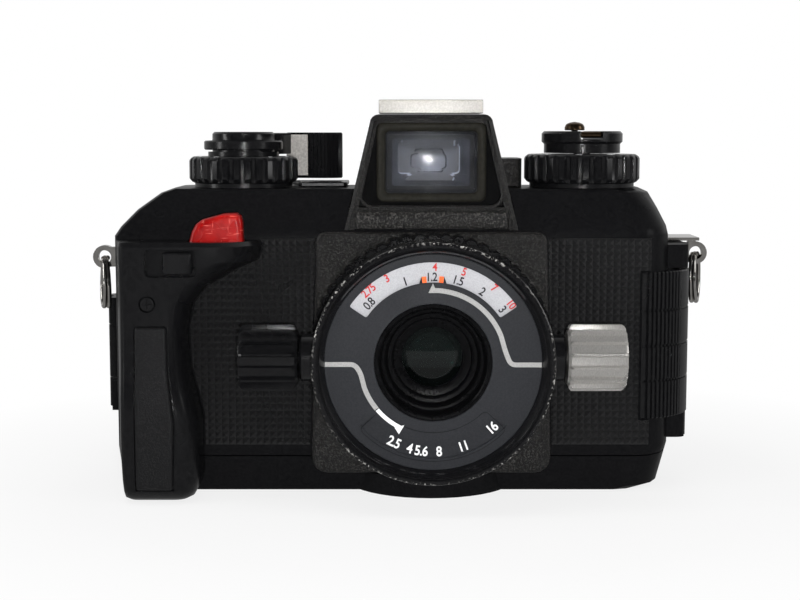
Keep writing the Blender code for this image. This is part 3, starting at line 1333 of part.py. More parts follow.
def pressure_plate():
    x0, x1, z0, z1 = pressure_plate_box()
    front = pressure_plate_front()
    back = front + PRESSURE_PLATE_THICKNESS
    plate = finish("pressure_plate", prism(rounded_even(x0, x1, z0, z1, 0.0015), front, back, "Y"),
                   gloss_black(), ((x0 + x1) / 2, front, LENS_HEIGHT))
    for point in pressure_pins():
        cut(plate, rod(point, PRESSURE_PIN_RADIUS + RUNNING_GAP, front - PAST, back + PAST, "Y", 12))
    return plate


def hinge_pin():
    profile = [(0.0, HINGE_BOTTOM - 0.0004), (HINGE_PIN_RADIUS, HINGE_BOTTOM - 0.0004),
               (HINGE_PIN_RADIUS, HINGE_TOP + 0.0004), (0.0, HINGE_TOP + 0.0004)]
    return finish("hinge_pin", turned(profile, (HINGE_X, HINGE_Y), steps=16), plain_steel())


def latch_pin():
    low, high = LATCH_PIN_BOTTOM, LATCH_PIN_TOP
    profile = [(0.0, low), (LATCH_PIN_RADIUS, low), (LATCH_PIN_RADIUS, high), (0.0, high)]
    return finish("latch_pin", turned(profile, (LATCH_PIVOT_X, LATCH_PIVOT_Y), steps=16), plain_steel())


def latch_turns():
    return [-LATCH_REACH * (1 - i / 10) for i in range(11)]


def latch_arc():
    """Outer curve of the lever, from its front edge round to the side."""
    centre_x, centre_y = LATCH_ARC_CENTRE
    reach_x, reach_y = LATCH_OUTER - centre_x, centre_y - LATCH_FRONT
    return [(centre_x + reach_x * cos(t), centre_y + reach_y * sin(t)) for t in latch_turns()]


def latch_ends():
    """Bottom and top of the lever, between the two blocks of the casting."""
    return LOWER_BLOCK[5] + RUNNING_GAP, UPPER_BLOCK[4] - RUNNING_GAP


def latch_lever():
    """Curved lever that wraps round the end of the body, on an upright pin."""
    barrel = []
    for step in range(9):
        angle = step / 8 * pi
        barrel.append((LATCH_PIVOT_X + LATCH_BARREL_RADIUS * cos(angle),
                       LATCH_PIVOT_Y + LATCH_BARREL_RADIUS * sin(angle)))
    corner_x, corner_y = BODY_CORNERS[1]
    inner_x = BODY_RIGHT - corner_x
    inner_y = BODY_FRONT + corner_y
    clear = RUNNING_GAP
    inner = [(inner_x + (corner_x + clear) * cos(t), inner_y + (corner_y + clear) * sin(t))
             for t in reversed(latch_turns())]
    low, high = latch_ends()
    lever = finish("latch_lever", prism(latch_arc() + barrel + inner, low, high), gloss_black(),
                   (LATCH_PIVOT_X, LATCH_PIVOT_Y, low))
    hole = LATCH_PIN_RADIUS + GAP
    cut(lever, rod((LATCH_PIVOT_X, LATCH_PIVOT_Y), hole, low - PAST, high + PAST, steps=16))
    return lever


# Strap lugs and rings

def strap_lug(name, x, y, z, base_x):
    """Eyelet on a short neck; its hole faces the viewer."""
    low = y - LUG_THICKNESS / 2
    high = y + LUG_THICKNESS / 2
    eyelet = finish(name, rod((x, z), LUG_RADIUS, low, high, "Y", 24), chrome())
    x0, x1 = min(x, base_x), max(x, base_x)
    neck = LUG_RADIUS * 0.85
    add(eyelet, box(x0, x1, low, high, z - neck, z + neck))
    if x > 0:
        plate = UPPER_BLOCK[5] + GAP
        add(eyelet, box(x - 0.0020, x, low, high, z, plate + LUG_PLATE / 2))
        add(eyelet, box(BODY_RIGHT, x - 0.0006, *LUG_PLATE_DEPTH, plate, plate + LUG_PLATE))
    cut(eyelet, rod((x, z), LUG_HOLE_RADIUS, low - PAST, high + PAST, "Y", 20))
    return eyelet


def strap_ring(name, x, y, z):
    """Loop of wire through the eyelet, narrow at the top and hanging down."""
    half = STRAP_RING_HALF_WIDTH
    edge = (LUG_THICKNESS / 2 + STRAP_RING_WIRE) / half
    dip = STRAP_RING_DROP / 2 * (1 - sqrt(1 - edge * edge))
    top = z - LUG_HOLE_RADIUS + STRAP_RING_WIRE + GAP + dip
    middle = top - STRAP_RING_DROP / 2
    turn = STRAP_RING_TURN if x < 0 else -STRAP_RING_TURN
    across = Vector((-sin(turn), cos(turn), 0.0))
    points = []
    for step in range(20):
        angle = 2 * pi * step / 20
        level = Vector((x, y, middle + STRAP_RING_DROP / 2 * sin(angle)))
        points.append(level + across * half * cos(angle))
    normal = (cos(turn), sin(turn), 0.0)
    shape = loop_tube(points, normal, STRAP_RING_WIRE, 6)
    return finish(name, shape, chrome(), (x, y, top))


# Film gate and shutter

def film_gate():
    front = FILM_POCKET_FLOOR + GAP
    back = front + GATE_THICKNESS
    x0, x1 = -SHUTTER_HALF_WIDTH, CARTRIDGE_X - CARTRIDGE_RADIUS - 0.0006
    z0, z1 = LENS_HEIGHT - GATE_HALF_HEIGHT, LENS_HEIGHT + GATE_HALF_HEIGHT
    gate = finish("film_gate", box(x0, x1, front, back, z0, z1), plain_steel())
    for low, high in ((z0 + 0.0003, z0 + 0.0015), (z1 - 0.0015, z1 - 0.0003),
                      (LENS_HEIGHT - GATE_HEIGHT / 2 - 0.0018, LENS_HEIGHT - GATE_HEIGHT / 2 - 0.0006),
                      (LENS_HEIGHT + GATE_HEIGHT / 2 + 0.0006, LENS_HEIGHT + GATE_HEIGHT / 2 + 0.0018)):
        add(gate, box(x0 + 0.0002, x1 - 0.0002, back - 0.0003, back + RAIL_HEIGHT, low, high))
    cut(gate, box(-GATE_WIDTH / 2, GATE_WIDTH / 2, front - PAST, back + 0.002,
                  LENS_HEIGHT - GATE_HEIGHT / 2, LENS_HEIGHT + GATE_HEIGHT / 2))
    return gate


def blade_room():
    """Half width, bottom and top of the slot that the blades run in."""
    return SHUTTER_HALF_WIDTH - 0.0010, SHUTTER_BOTTOM + 0.0010, LENS_HEIGHT + GATE_HEIGHT / 2 + 0.0014


def shutter_block():
    block = finish("shutter_block", box(-SHUTTER_HALF_WIDTH, SHUTTER_HALF_WIDTH, SHUTTER_FRONT,
                                        FILM_POCKET_FLOOR, SHUTTER_BOTTOM, SHUTTER_TOP), gloss_black())
    half, low, high = blade_room()
    cut(block, box(-half, half, blade_level(0) - GAP, FILM_POCKET_FLOOR + PAST, low, high))
    cut(block, box(-GATE_WIDTH / 2 - 0.0003, GATE_WIDTH / 2 + 0.0003, SHUTTER_FRONT - PAST,
                   FILM_POCKET_FLOOR + PAST, LENS_HEIGHT - GATE_HEIGHT / 2 - 0.0003,
                   LENS_HEIGHT + GATE_HEIGHT / 2 + 0.0003))
    return block


def blade_level(number):
    return BLADE_FRONT + number * (BLADE_THICKNESS + GAP)


def shutter_blade(name, number, bottom):
    half, _, _ = blade_room()
    half -= GAP
    front = blade_level(number)
    shape = box(-half, half, front, front + BLADE_THICKNESS, bottom, bottom + BLADE_HEIGHT)
    return finish(name, shape, plain_steel(), (0.0, front, bottom))


def shutter_blades():
    lower = LENS_HEIGHT - GATE_HEIGHT / 2 - 0.0008
    upper = LENS_HEIGHT + GATE_HEIGHT / 2 + 0.0010 - BLADE_HEIGHT
    shutter_blade("shutter_blade_lower", 0, lower)
    shutter_blade("shutter_blade_upper", 1, upper)


# Lens

LENS_CENTRE = (0.0, LENS_HEIGHT)


def lens_barrel():
    """Barrel with a well for the dials, a rear tube with bayonet tabs and a collar for each knob."""
    well = DIAL_WELL_RADIUS
    profile = [
        (BARREL_RADIUS - 0.0006, BARREL_FRONT), (BARREL_RADIUS, BARREL_FRONT + 0.0006),
        (BARREL_RADIUS, FLANGE_FRONT - GAP), (FLANGE_SEAT_RADIUS, FLANGE_FRONT - GAP),
        (FLANGE_SEAT_RADIUS, FLANGE_BACK + GAP), (MOUNT_RING_RADIUS, BARREL_BACK - 0.0014),
        (MOUNT_RING_RADIUS, BARREL_BACK), (LENS_TUBE_RADIUS, BARREL_BACK), (LENS_TUBE_RADIUS, LENS_TUBE_BACK),
        (LENS_BORE_RADIUS, LENS_TUBE_BACK), (LENS_BORE_RADIUS, DIAL_WELL_FLOOR), (well, DIAL_WELL_FLOOR),
        (well, FACE_FRONT - 0.0002), (well + 0.0008, FACE_FRONT - 0.0010), (well + 0.0014, BARREL_FRONT)]
    barrel = finish("lens_barrel", turned(profile, LENS_CENTRE, "Y", 48), gloss_black(),
                    (0.0, 0.0, LENS_HEIGHT))
    for side in (-1, 1):
        ends = sorted((side * (DIAL_WELL_RADIUS + 0.0002), side * COLLAR_OUTER))
        add(barrel, rod((KNOB_Y, LENS_HEIGHT), COLLAR_RADIUS, *ends, "X", 20))
        bore = sorted((side * KNOB_SHAFT_INNER, side * (COLLAR_OUTER + PAST)))
        cut(barrel, rod((KNOB_Y, LENS_HEIGHT), KNOB_SHAFT_RADIUS + GAP, *bore, "X", 12))
        middle = pi / 2 * (1 - side)
        tab = sector(LENS_TUBE_RADIUS - 0.0008, BAYONET_RADIUS, middle - BAYONET_HALF_ANGLE,
                     middle + BAYONET_HALF_ANGLE, 5, LENS_CENTRE)
        tab_front = MOUNT_RING_BACK + RUNNING_GAP
        add(barrel, prism(tab, tab_front, tab_front + BAYONET_THICKNESS, "Y"))
    return barrel


def flange_ring():
    """Notched ring behind the barrel, open where the knob collars cross it."""
    inner = FLANGE_SEAT_RADIUS + GAP
    outline = zigzag(FLANGE_NOTCHES, FLANGE_RADIUS, FLANGE_RADIUS - 0.0005, LENS_CENTRE)
    ring = finish("flange_ring", prism(outline, FLANGE_FRONT, FLANGE_BACK, "Y"), gloss_black())
    cut(ring, rod(LENS_CENTRE, inner, FLANGE_FRONT - PAST, FLANGE_BACK + PAST, "Y", 48))
    reach = FLANGE_RADIUS + 0.002
    cut(ring, rod((KNOB_Y, LENS_HEIGHT), COLLAR_RADIUS + GAP, -reach, reach, "X", 20))
    return ring


def layer(number):
    """Front of a dial layer behind the lens face: two pointers, aperture scale, distance scale."""
    front = FACE_FRONT + FACE_THICKNESS + GAP
    thickness = (POINTER_THICKNESS, POINTER_THICKNESS, SCALE_THICKNESS, SCALE_THICKNESS)
    for thick in thickness[:number]:
        front += thick + GAP
    return front


def lens_face():
    profile = [(LENS_EYE_RADIUS, FACE_FRONT), (DIAL_WELL_RADIUS - GAP, FACE_FRONT),
               (DIAL_WELL_RADIUS - GAP, FACE_FRONT + FACE_THICKNESS),
               (LENS_EYE_RADIUS, FACE_FRONT + FACE_THICKNESS)]
    face = finish("lens_face", turned(profile, LENS_CENTRE, "Y", 48), slate_paint())
    for inner, outer, start, end in (DISTANCE_WINDOW, APERTURE_WINDOW):
        window = sector(inner, outer, start, end, 10, LENS_CENTRE)
        cut(face, prism(window, FACE_FRONT - PAST, FACE_FRONT + FACE_THICKNESS + PAST, "Y"))
    return face


def lens_core():
    """Tube of the optics: a dark funnel in front, glass seats inside and a plain rear."""
    outer = LENS_EYE_RADIUS - GAP
    front = FACE_FRONT + 0.0001
    rear_seat = REAR_GLASS_RADIUS + GAP
    front_seat = GLASS_RADIUS + GAP
    rear_floor = REAR_GLASS_FRONT - GAP
    front_floor = FRONT_GLASS_BACK + GAP
    profile = [(outer, front), (outer, LENS_TUBE_BACK), (rear_seat, LENS_TUBE_BACK), (rear_seat, rear_floor),
               (LENS_STOP_RADIUS, rear_floor), (LENS_STOP_RADIUS, front_floor + 0.0005),
               (front_seat, front_floor), (front_seat, FRONT_GLASS_EDGE - 0.0016), *FUNNEL_STEPS,
               (FUNNEL_MOUTH, front)]
    return finish("lens_core", turned(profile, LENS_CENTRE, "Y", 32), gloss_black())


def lens_element(name, radius, front, back, bulge):
    steps = 3
    profile = [(0.0, back), (radius, back)]
    for step in range(steps + 1):
        share = 1 - step / steps
        profile.append((radius * share, front - bulge * (1 - share * share)))
    return finish(name, turned(profile, LENS_CENTRE, "Y", 28), clear_glass())


def front_glass():
    return lens_element("front_glass", GLASS_RADIUS, FRONT_GLASS_EDGE, FRONT_GLASS_BACK, FRONT_GLASS_BULGE)


def rear_glass():
    return lens_element("rear_glass", REAR_GLASS_RADIUS, REAR_GLASS_FRONT, REAR_GLASS_BACK, 0.0)


def hub(number, thickness):
    """Hub ring of a dial layer, as a turned profile."""
    inner = LENS_EYE_RADIUS + RUNNING_GAP
    return [(inner, layer(number)), (inner + 0.0008, layer(number)),
            (inner + 0.0008, layer(number) + thickness), (inner, layer(number) + thickness)]


def distance_scale():
    inner = LENS_EYE_RADIUS + RUNNING_GAP
    outer = DIAL_WELL_RADIUS - RUNNING_GAP
    front = layer(3)
    back = front + SCALE_THICKNESS
    profile = [(inner, front), (outer, front), (outer, back), (inner, back)]
    return finish("distance_scale", turned(profile, LENS_CENTRE, "Y", 48), scale_white(),
                  (0.0, front, LENS_HEIGHT))


def aperture_scale():
    front = layer(2)
    disc = finish("aperture_scale", turned(hub(2, SCALE_THICKNESS), LENS_CENTRE, "Y", 32), slate_paint(),
                  (0.0, front, LENS_HEIGHT))
    _, _, start, end = APERTURE_WINDOW
    outline = sector(LENS_EYE_RADIUS + RUNNING_GAP + 0.0004, DIAL_WELL_RADIUS - 0.0007,
                     start - radians(1.5), end + APERTURE_TRAVEL, 16, LENS_CENTRE)
    add(disc, prism(outline, front, front + SCALE_THICKNESS, "Y"))
    return disc


def dof_pointer(name, number, angle):
    """Depth of field pointer: a narrow arm on its own hub ring."""
    front = layer(number)
    pointer = finish(name, turned(hub(number, POINTER_THICKNESS), LENS_CENTRE, "Y", 32), pointer_orange(),
                     (0.0, front, LENS_HEIGHT))
    arm = sector(LENS_EYE_RADIUS + RUNNING_GAP + 0.0004, 0.0212, angle - POINTER_HALF_ANGLE,
                 angle + POINTER_HALF_ANGLE, 2, LENS_CENTRE)
    add(pointer, prism(arm, front, front + POINTER_THICKNESS, "Y"))
    return pointer


def lens_knob(name, side, surface):
    """Ribbed knob with its shaft, on the left or right of the lens."""
    ends = ((KNOB_INNER, KNOB_RADIUS - 0.0008, KNOB_ROOT_RADIUS - 0.0006),
            (KNOB_INNER + 0.0008, KNOB_RADIUS, KNOB_ROOT_RADIUS),
            (KNOB_OUTER - 0.0008, KNOB_RADIUS, KNOB_ROOT_RADIUS),
            (KNOB_OUTER, KNOB_RADIUS - 0.0008, KNOB_ROOT_RADIUS - 0.0006))
    rings = [[(side * x, a, b) for a, b in toothed(KNOB_RIDGES, tip, root, 0.2, (KNOB_Y, LENS_HEIGHT))]
             for x, tip, root in ends]
    knob = finish(name, skin(rings), surface, (side * KNOB_INNER, KNOB_Y, LENS_HEIGHT))
    shaft = sorted((side * (KNOB_SHAFT_INNER + GAP), side * (KNOB_INNER + PAST)))
    add(knob, rod((KNOB_Y, LENS_HEIGHT), KNOB_SHAFT_RADIUS, *shaft, "X", 16))
    return knob


def build():
    body_casting()
    base_cover()
    tripod_bushing()
    base_cap("battery_cap", BATTERY_X, BATTERY_CAP_RADIUS)
    base_cap("sync_cap", SYNC_X, SYNC_CAP_RADIUS)
    battery()
    sync_socket()
    front_plate()
    mount_ring()
    panel_left()
    panel_right()
    hand_grip()
    grip_insert()
    grip_screw()
    shutter_release()
    release_lock()
    finder_housing()
    finder_bezel()
    finder_window()
    eyepiece_lens()
    name_plate()
    accessory_shoe()
    circuit_board()
    fluted_dial("speed_dial", SPEED_DIAL_X, SPEED_DIAL_RADIUS, SPEED_DIAL_TOP,
                ADVANCE_SHAFT_RADIUS + RUNNING_GAP)
    fluted_dial("iso_dial", CARTRIDGE_X, FILM_SPEED_DIAL_RADIUS, FILM_SPEED_DIAL_TOP,
                sleeve_outer() + RUNNING_GAP)
    advance_lever()
    counter_bezel()
    counter_dial()
    take_up_spool()
    sprocket()
    rewind_sleeve()
    rewind_knob()
    rewind_crank()
    crank_handle()
    back_door()
    door_seal()
    pressure_plate()
    hinge_pin()
    latch_pin()
    latch_lever()
    strap_lug("strap_lug_left", LUG_LEFT_X, LUG_LEFT_Y, LUG_LEFT_Z, BODY_LEFT - GAP)
    strap_lug("strap_lug_right", LUG_RIGHT_X, LUG_RIGHT_Y, LUG_RIGHT_Z, LUG_SLOT_FLOOR + GAP)
    strap_ring("strap_ring_left", LUG_LEFT_X, LUG_LEFT_Y, LUG_LEFT_Z)
    strap_ring("strap_ring_right", LUG_RIGHT_X, LUG_RIGHT_Y, LUG_RIGHT_Z)
    film_gate()
    shutter_block()
    shutter_blades()
    lens_barrel()
    flange_ring()
    lens_face()
    lens_core()
    front_glass()
    rear_glass()
    distance_scale()
    aperture_scale()
    dof_pointer("dof_pointer_left", 0, pi / 2 + POINTER_ANGLE)
    dof_pointer("dof_pointer_right", 1, pi / 2 - POINTER_ANGLE)
    lens_knob("focus_knob", 1, bright_aluminium())
    lens_knob("aperture_knob", -1, gloss_black())


for thing in list(bpy.data.objects):
    bpy.data.objects.remove(thing, do_unlink=True)
build()
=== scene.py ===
from math import atan2, cos, hypot, pi, radians, sin, sqrt

import bmesh
import bpy
from mathutils import Matrix, Vector


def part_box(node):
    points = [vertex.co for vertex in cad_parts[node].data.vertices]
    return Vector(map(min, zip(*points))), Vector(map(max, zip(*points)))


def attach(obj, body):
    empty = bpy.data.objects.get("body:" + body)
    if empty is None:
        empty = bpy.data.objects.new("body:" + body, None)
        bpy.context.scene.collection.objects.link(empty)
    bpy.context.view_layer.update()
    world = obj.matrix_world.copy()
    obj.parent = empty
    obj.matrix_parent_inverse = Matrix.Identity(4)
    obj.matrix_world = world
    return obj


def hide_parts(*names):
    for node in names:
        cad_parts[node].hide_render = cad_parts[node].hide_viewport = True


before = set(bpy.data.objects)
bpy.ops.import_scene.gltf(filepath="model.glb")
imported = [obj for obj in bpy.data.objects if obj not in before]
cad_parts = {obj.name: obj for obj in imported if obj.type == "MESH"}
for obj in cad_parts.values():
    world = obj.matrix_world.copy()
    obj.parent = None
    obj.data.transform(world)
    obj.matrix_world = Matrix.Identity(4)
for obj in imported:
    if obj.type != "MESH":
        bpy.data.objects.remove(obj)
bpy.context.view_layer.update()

# Underwater film camera. Shapes are drawn in millimetres and put into metres when a piece is made.

mm = 0.001
scene = bpy.context.scene
lensZ = 36.2


# Drawing shapes

def onAxis(axis, a, b, height):
    return {"X": (height, a, b), "Y": (a, height, b), "Z": (a, b, height)}[axis]


def lathe(profile, centre=(0.0, 0.0), axis="Z", steps=96, closed=False):
    # profile holds radius and height; a radius of 0 closes the end
    shape = bmesh.new()
    rings = []
    for radius, height in profile:
        if radius == 0:
            rings.append([shape.verts.new(onAxis(axis, centre[0], centre[1], height))])
            continue
        rings.append([shape.verts.new(onAxis(axis, centre[0] + radius * cos(2 * pi * i / steps),
                                             centre[1] + radius * sin(2 * pi * i / steps), height))
                      for i in range(steps)])
    pairs = list(zip(rings, rings[1:]))
    if closed:
        pairs.append((rings[-1], rings[0]))
    for a, b in pairs:
        for i in range(steps):
            j = (i + 1) % steps
            if len(a) == 1:
                shape.faces.new((a[0], b[i], b[j]))
            elif len(b) == 1:
                shape.faces.new((a[i], a[j], b[0]))
            else:
                shape.faces.new((a[i], a[j], b[j], b[i]))
    bmesh.ops.recalc_face_normals(shape, faces=shape.faces)
    return shape


def skin(rings, closed=False):
    # capped at both ends, or closed from the last ring to the first
    shape = bmesh.new()
    loops = [[shape.verts.new(point) for point in ring] for ring in rings]
    count = len(loops[0])
    for a, b in zip(loops, loops[1:] + loops[:1] if closed else loops[1:]):
        for i in range(count):
            j = (i + 1) % count
            shape.faces.new((a[i], a[j], b[j], b[i]))
    if not closed:
        shape.faces.new(loops[0])
        shape.faces.new(loops[-1])
    bmesh.ops.recalc_face_normals(shape, faces=shape.faces)
    return shape


def prism(outline, low, high, axis="Y"):
    return skin([[onAxis(axis, a, b, level) for a, b in outline] for level in (low, high)])


def chamfered(outline, smaller, low, high, edge, axis="Y"):
    # prism with both ends drawn in over a short edge
    levels = ((smaller, low), (outline, low + edge), (outline, high - edge), (smaller, high))
    return skin([[onAxis(axis, a, b, level) for a, b in ring] for ring, level in levels])


def roundedBox(x0, x1, y0, y1, radius, steps=6):
    points = []
    for cx, cy, start in ((x0 + radius, y0 + radius, 180), (x1 - radius, y0 + radius, 270),
                          (x1 - radius, y1 - radius, 0), (x0 + radius, y1 - radius, 90)):
        for i in range(steps + 1):
            turn = radians(start + 90 * i / steps)
            points.append((cx + radius * cos(turn), cy + radius * sin(turn)))
    return points


def block(x0, x1, y0, y1, z0, z1):
    return prism([(x0, z0), (x1, z0), (x1, z1), (x0, z1)], y0, y1)


def meshOf(shape, name="blank"):
    mesh = bpy.data.meshes.new(name)
    shape.to_mesh(mesh)
    shape.free()
    return mesh


def placed(name, data):
    item = bpy.data.objects.new(name, data)
    scene.collection.objects.link(item)
    return item


def joined(*shapes):
    whole = bmesh.new()
    for shape in shapes:
        mesh = meshOf(shape)
        whole.from_mesh(mesh)
        bpy.data.meshes.remove(mesh)
    return whole


def carved(target, tool, operation="DIFFERENCE"):
    pair = [placed("blank", meshOf(shape)) for shape in (target, tool)]
    step = pair[0].modifiers.new("carve", "BOOLEAN")
    step.object = pair[1]
    step.operation = operation
    step.solver = "EXACT"
    seen = pair[0].evaluated_get(bpy.context.evaluated_depsgraph_get())
    result = bmesh.new()
    result.from_mesh(seen.to_mesh())
    for item in pair:
        mesh = item.data
        bpy.data.objects.remove(item)
        bpy.data.meshes.remove(mesh)
    return result


def copied(node):
    # the CAD node's own mesh, cleaned of its triangles
    shape = bmesh.new()
    shape.from_mesh(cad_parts[node].data)
    bmesh.ops.scale(shape, vec=(1000, 1000, 1000), verts=shape.verts)
    bmesh.ops.remove_doubles(shape, verts=shape.verts, dist=0.001)
    bmesh.ops.dissolve_limit(shape, angle_limit=radians(0.6), verts=shape.verts, edges=shape.edges)
    return shape


def tube(path, radius, sides=10):
    # round wire along a path; the frame is carried along without twisting
    points = [Vector(point) for point in path]
    ahead = [(after - before).normalized() for before, after in zip(points[:1] + points, points[1:] + points[-1:])]
    side = ahead[0].orthogonal().normalized()
    rings = []
    for point, along in zip(points, ahead):
        side = (side - along * side.dot(along)).normalized()
        up = along.cross(side)
        rings.append([point + side * radius * cos(2 * pi * k / sides) + up * radius * sin(2 * pi * k / sides)
                      for k in range(sides)])
    return skin(rings)


def lettered(items, y, thick):
    # items hold text, size, x, z, turn and weight; they face the viewer
    whole = bmesh.new()
    for text, size, x, z, turn, weight in items:
        data = bpy.data.curves.new("figure", "FONT")
        data.body = text
        data.size = size
        data.align_x = data.align_y = "CENTER"
        data.extrude = thick / 2
        data.offset = weight
        data.space_character = 0.92
        item = placed("figure", data)
        part = bmesh.new()
        part.from_mesh(item.evaluated_get(bpy.context.evaluated_depsgraph_get()).to_mesh())
        place = (Matrix.Translation((x, y, z)) @ Matrix.Rotation(pi / 2, 4, "X")
                 @ Matrix.Rotation(turn, 4, "Z") @ Matrix.Diagonal((0.86, 1.0, 1.0, 1.0)))
        bmesh.ops.transform(part, matrix=place, verts=part.verts)
        flat = meshOf(part)
        whole.from_mesh(flat)
        bpy.data.meshes.remove(flat)
        bpy.data.objects.remove(item)
        bpy.data.curves.remove(data)
    return whole


def piece(name, shape, finishes, body, slot, nodes=(), bevel=0.0, sharp=34, segments=2, rounded=0.0):
    bmesh.ops.scale(shape, vec=(mm, mm, mm), verts=shape.verts)
    for face in shape.faces:
        face.smooth = True
    if not bevel:
        for edge in shape.edges:
            edge.smooth = edge.calc_face_angle(0.0) < radians(sharp)
    item = placed(name, meshOf(shape, name))
    for made in finishes if isinstance(finishes, list) else [finishes]:
        item.data.materials.append(made)
    if rounded:
        even = item.modifiers.new("evenGrid", "REMESH")
        even.voxel_size = rounded * mm
        even.use_smooth_shade = True
        soft = item.modifiers.new("softForm", "SMOOTH")
        soft.iterations = 6
    if bevel:
        soft = item.modifiers.new("softEdges", "BEVEL")
        soft.width = bevel * mm
        soft.segments = segments
        soft.limit_method = "ANGLE"
        soft.angle_limit = radians(sharp)
        even = item.modifiers.new("evenLight", "WEIGHTED_NORMAL")
        even.keep_sharp = True
    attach(item, body)
    if nodes:
        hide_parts(*nodes)
    return item


def copyPiece(name, node, finishes, body, slot, **form):
    # a piece that keeps the CAD node's own form
    return piece(name, copied(node), finishes, body, slot, [node], **form)


# Finishes

def link(tree, a, b):
    tree.links.new(a, b)


def add(tree, kind):
    return tree.nodes.new("ShaderNode" + kind)


def setInputs(node, values):
    for name, value in values.items():
        node.inputs[name].default_value = value


def blankMaterial(name):
    material = bpy.data.materials.new(name)
    material.use_nodes = True
    return material, material.node_tree, material.node_tree.nodes["Principled BSDF"]


def axes(tree, kind="Object"):
    parts = add(tree, "SeparateXYZ")
    link(tree, add(tree, "TexCoord").outputs[kind], parts.inputs[0])
    return parts.outputs


def noise(tree, scale, detail=3.0, stretch=None, turn=(0.0, 0.0, 0.0)):
    place = add(tree, "TexCoord").outputs["Object"]
    if stretch:
        mapping = add(tree, "Mapping")
        setInputs(mapping, {"Scale": stretch, "Rotation": turn})
        link(tree, place, mapping.inputs["Vector"])
        place = mapping.outputs["Vector"]
    texture = add(tree, "TexNoise")
    setInputs(texture, {"Scale": scale, "Detail": detail})
    link(tree, place, texture.inputs["Vector"])
    return texture.outputs["Fac"]


def ramp(tree, fac, low, high, start=0.35, end=0.65):
    spread = add(tree, "MapRange")
    setInputs(spread, {"From Min": start, "From Max": end, "To Min": low, "To Max": high})
    link(tree, fac, spread.inputs["Value"])
    return spread.outputs["Result"]


def blended(tree, fac, a, b):
    # a and b are colours or sockets
    mix = add(tree, "Mix")
    mix.data_type = "RGBA"
    link(tree, fac, mix.inputs["Factor"])
    for value, slotName in ((a, 6), (b, 7)):
        if isinstance(value, tuple):
            mix.inputs[slotName].default_value = (*value, 1.0)
        else:
            link(tree, value, mix.inputs[slotName])
    return mix.outputs[2]


def mixed(tree, fac, a, b):
    # one shader turning into another
    mix = add(tree, "MixShader")
    for index, value in enumerate((fac, a, b)):
        link(tree, value, mix.inputs[index])
    return mix.outputs[0]


def figure(tree, operation, a, b=None):
    # one sum on numbers or sockets
    node = add(tree, "Math")
    node.operation = operation
    for index, value in enumerate((a, b)):
        if isinstance(value, (int, float)):
            node.inputs[index].default_value = value
        elif value is not None:
            link(tree, value, node.inputs[index])
    return node.outputs[0]


def reachOf(tree, a, b):
    return figure(tree, "SQRT", figure(tree, "ADD", figure(tree, "MULTIPLY", a, a), figure(tree, "MULTIPLY", b, b)))


def bumped(tree, shader, height, depth):
    bump = add(tree, "Bump")
    setInputs(bump, {"Strength": 1.0, "Distance": depth * mm})
    link(tree, height, bump.inputs["Height"])
    link(tree, bump.outputs["Normal"], shader.inputs["Normal"])


def finish(name, dark, light, grain, depth, rough, metallic=0.0, coat=0.0, specular=0.5, stretch=None,
           spread=(0.35, 0.65)):
    # grain is how fine the surface is, depth its height in mm, rough the lowest and highest roughness
    material, tree, shader = blankMaterial(name)
    setInputs(shader, {"Metallic": metallic, "Coat Weight": coat, "Coat Roughness": 0.08,
                       "Specular IOR Level": specular})
    fine = noise(tree, grain, stretch=stretch)
    wide = noise(tree, 90.0, 2.0)
    link(tree, blended(tree, ramp(tree, fine, 0.0, 1.0, *spread), dark, light), shader.inputs["Base Color"])
    link(tree, ramp(tree, wide, *rough), shader.inputs["Roughness"])
    bumped(tree, shader, fine, depth)
    return material


blackEnamel = finish("blackEnamel", (0.004, 0.004, 0.0045), (0.0065, 0.0065, 0.007), 1500, 0.006, (0.26, 0.36),
                     specular=0.08)
gripEnamel = finish("gripEnamel", (0.0035, 0.0035, 0.004), (0.006, 0.006, 0.0065), 900, 0.003, (0.18, 0.28),
                    specular=0.3)
dialEnamel = finish("dialEnamel", (0.003, 0.003, 0.0035), (0.006, 0.006, 0.0065), 1200, 0.003, (0.18, 0.28),
                    specular=0.45)
# the light speckles in these two paints are partly grain and partly painted glints standing in for highlights on the
# wrinkle peaks
wrinklePaint = finish("wrinklePaint", (0.004, 0.004, 0.004), (0.034, 0.032, 0.030), 2300, 0.2, (0.28, 0.38),
                      specular=0.5, spread=(0.5, 0.68))
coarseWrinkle = finish("coarseWrinkle", (0.006, 0.006, 0.006), (0.060, 0.057, 0.053), 2300, 0.2, (0.26, 0.36),
                       specular=0.6, spread=(0.5, 0.64))
pyramidRubber = finish("pyramidRubber", (0.006, 0.006, 0.0063), (0.011, 0.011, 0.0115), 2600, 0.01, (0.26, 0.36),
                       specular=0.6)
grainRubber = finish("grainRubber", (0.006, 0.006, 0.0065), (0.014, 0.014, 0.0145), 3000, 0.07, (0.3, 0.38),
                     specular=0.26, spread=(0.46, 0.66))
slatePaint = finish("slatePaint", (0.015, 0.016, 0.0185), (0.022, 0.023, 0.0265), 2600, 0.012, (0.36, 0.46),
                    specular=0.3)
scaleSilver = finish("scaleSilver", (0.36, 0.36, 0.38), (0.47, 0.47, 0.49), 4200, 0.01, (0.34, 0.44),
                     specular=0.3, spread=(0.3, 0.7))
lineSilver = finish("lineSilver", (0.27, 0.268, 0.262), (0.34, 0.337, 0.33), 2600, 0.01, (0.35, 0.45))
markWhite = finish("markWhite", (0.72, 0.72, 0.73), (0.82, 0.82, 0.82), 2600, 0.005, (0.4, 0.5))
markBlack = finish("markBlack", (0.006, 0.006, 0.008), (0.014, 0.014, 0.018), 2600, 0.004, (0.4, 0.5))
markRed = finish("markRed", (0.48, 0.010, 0.009), (0.58, 0.018, 0.014), 2600, 0.004, (0.4, 0.5))
pointerOrange = finish("pointerOrange", (0.78, 0.10, 0.015), (0.9, 0.16, 0.03), 2600, 0.004, (0.4, 0.5))
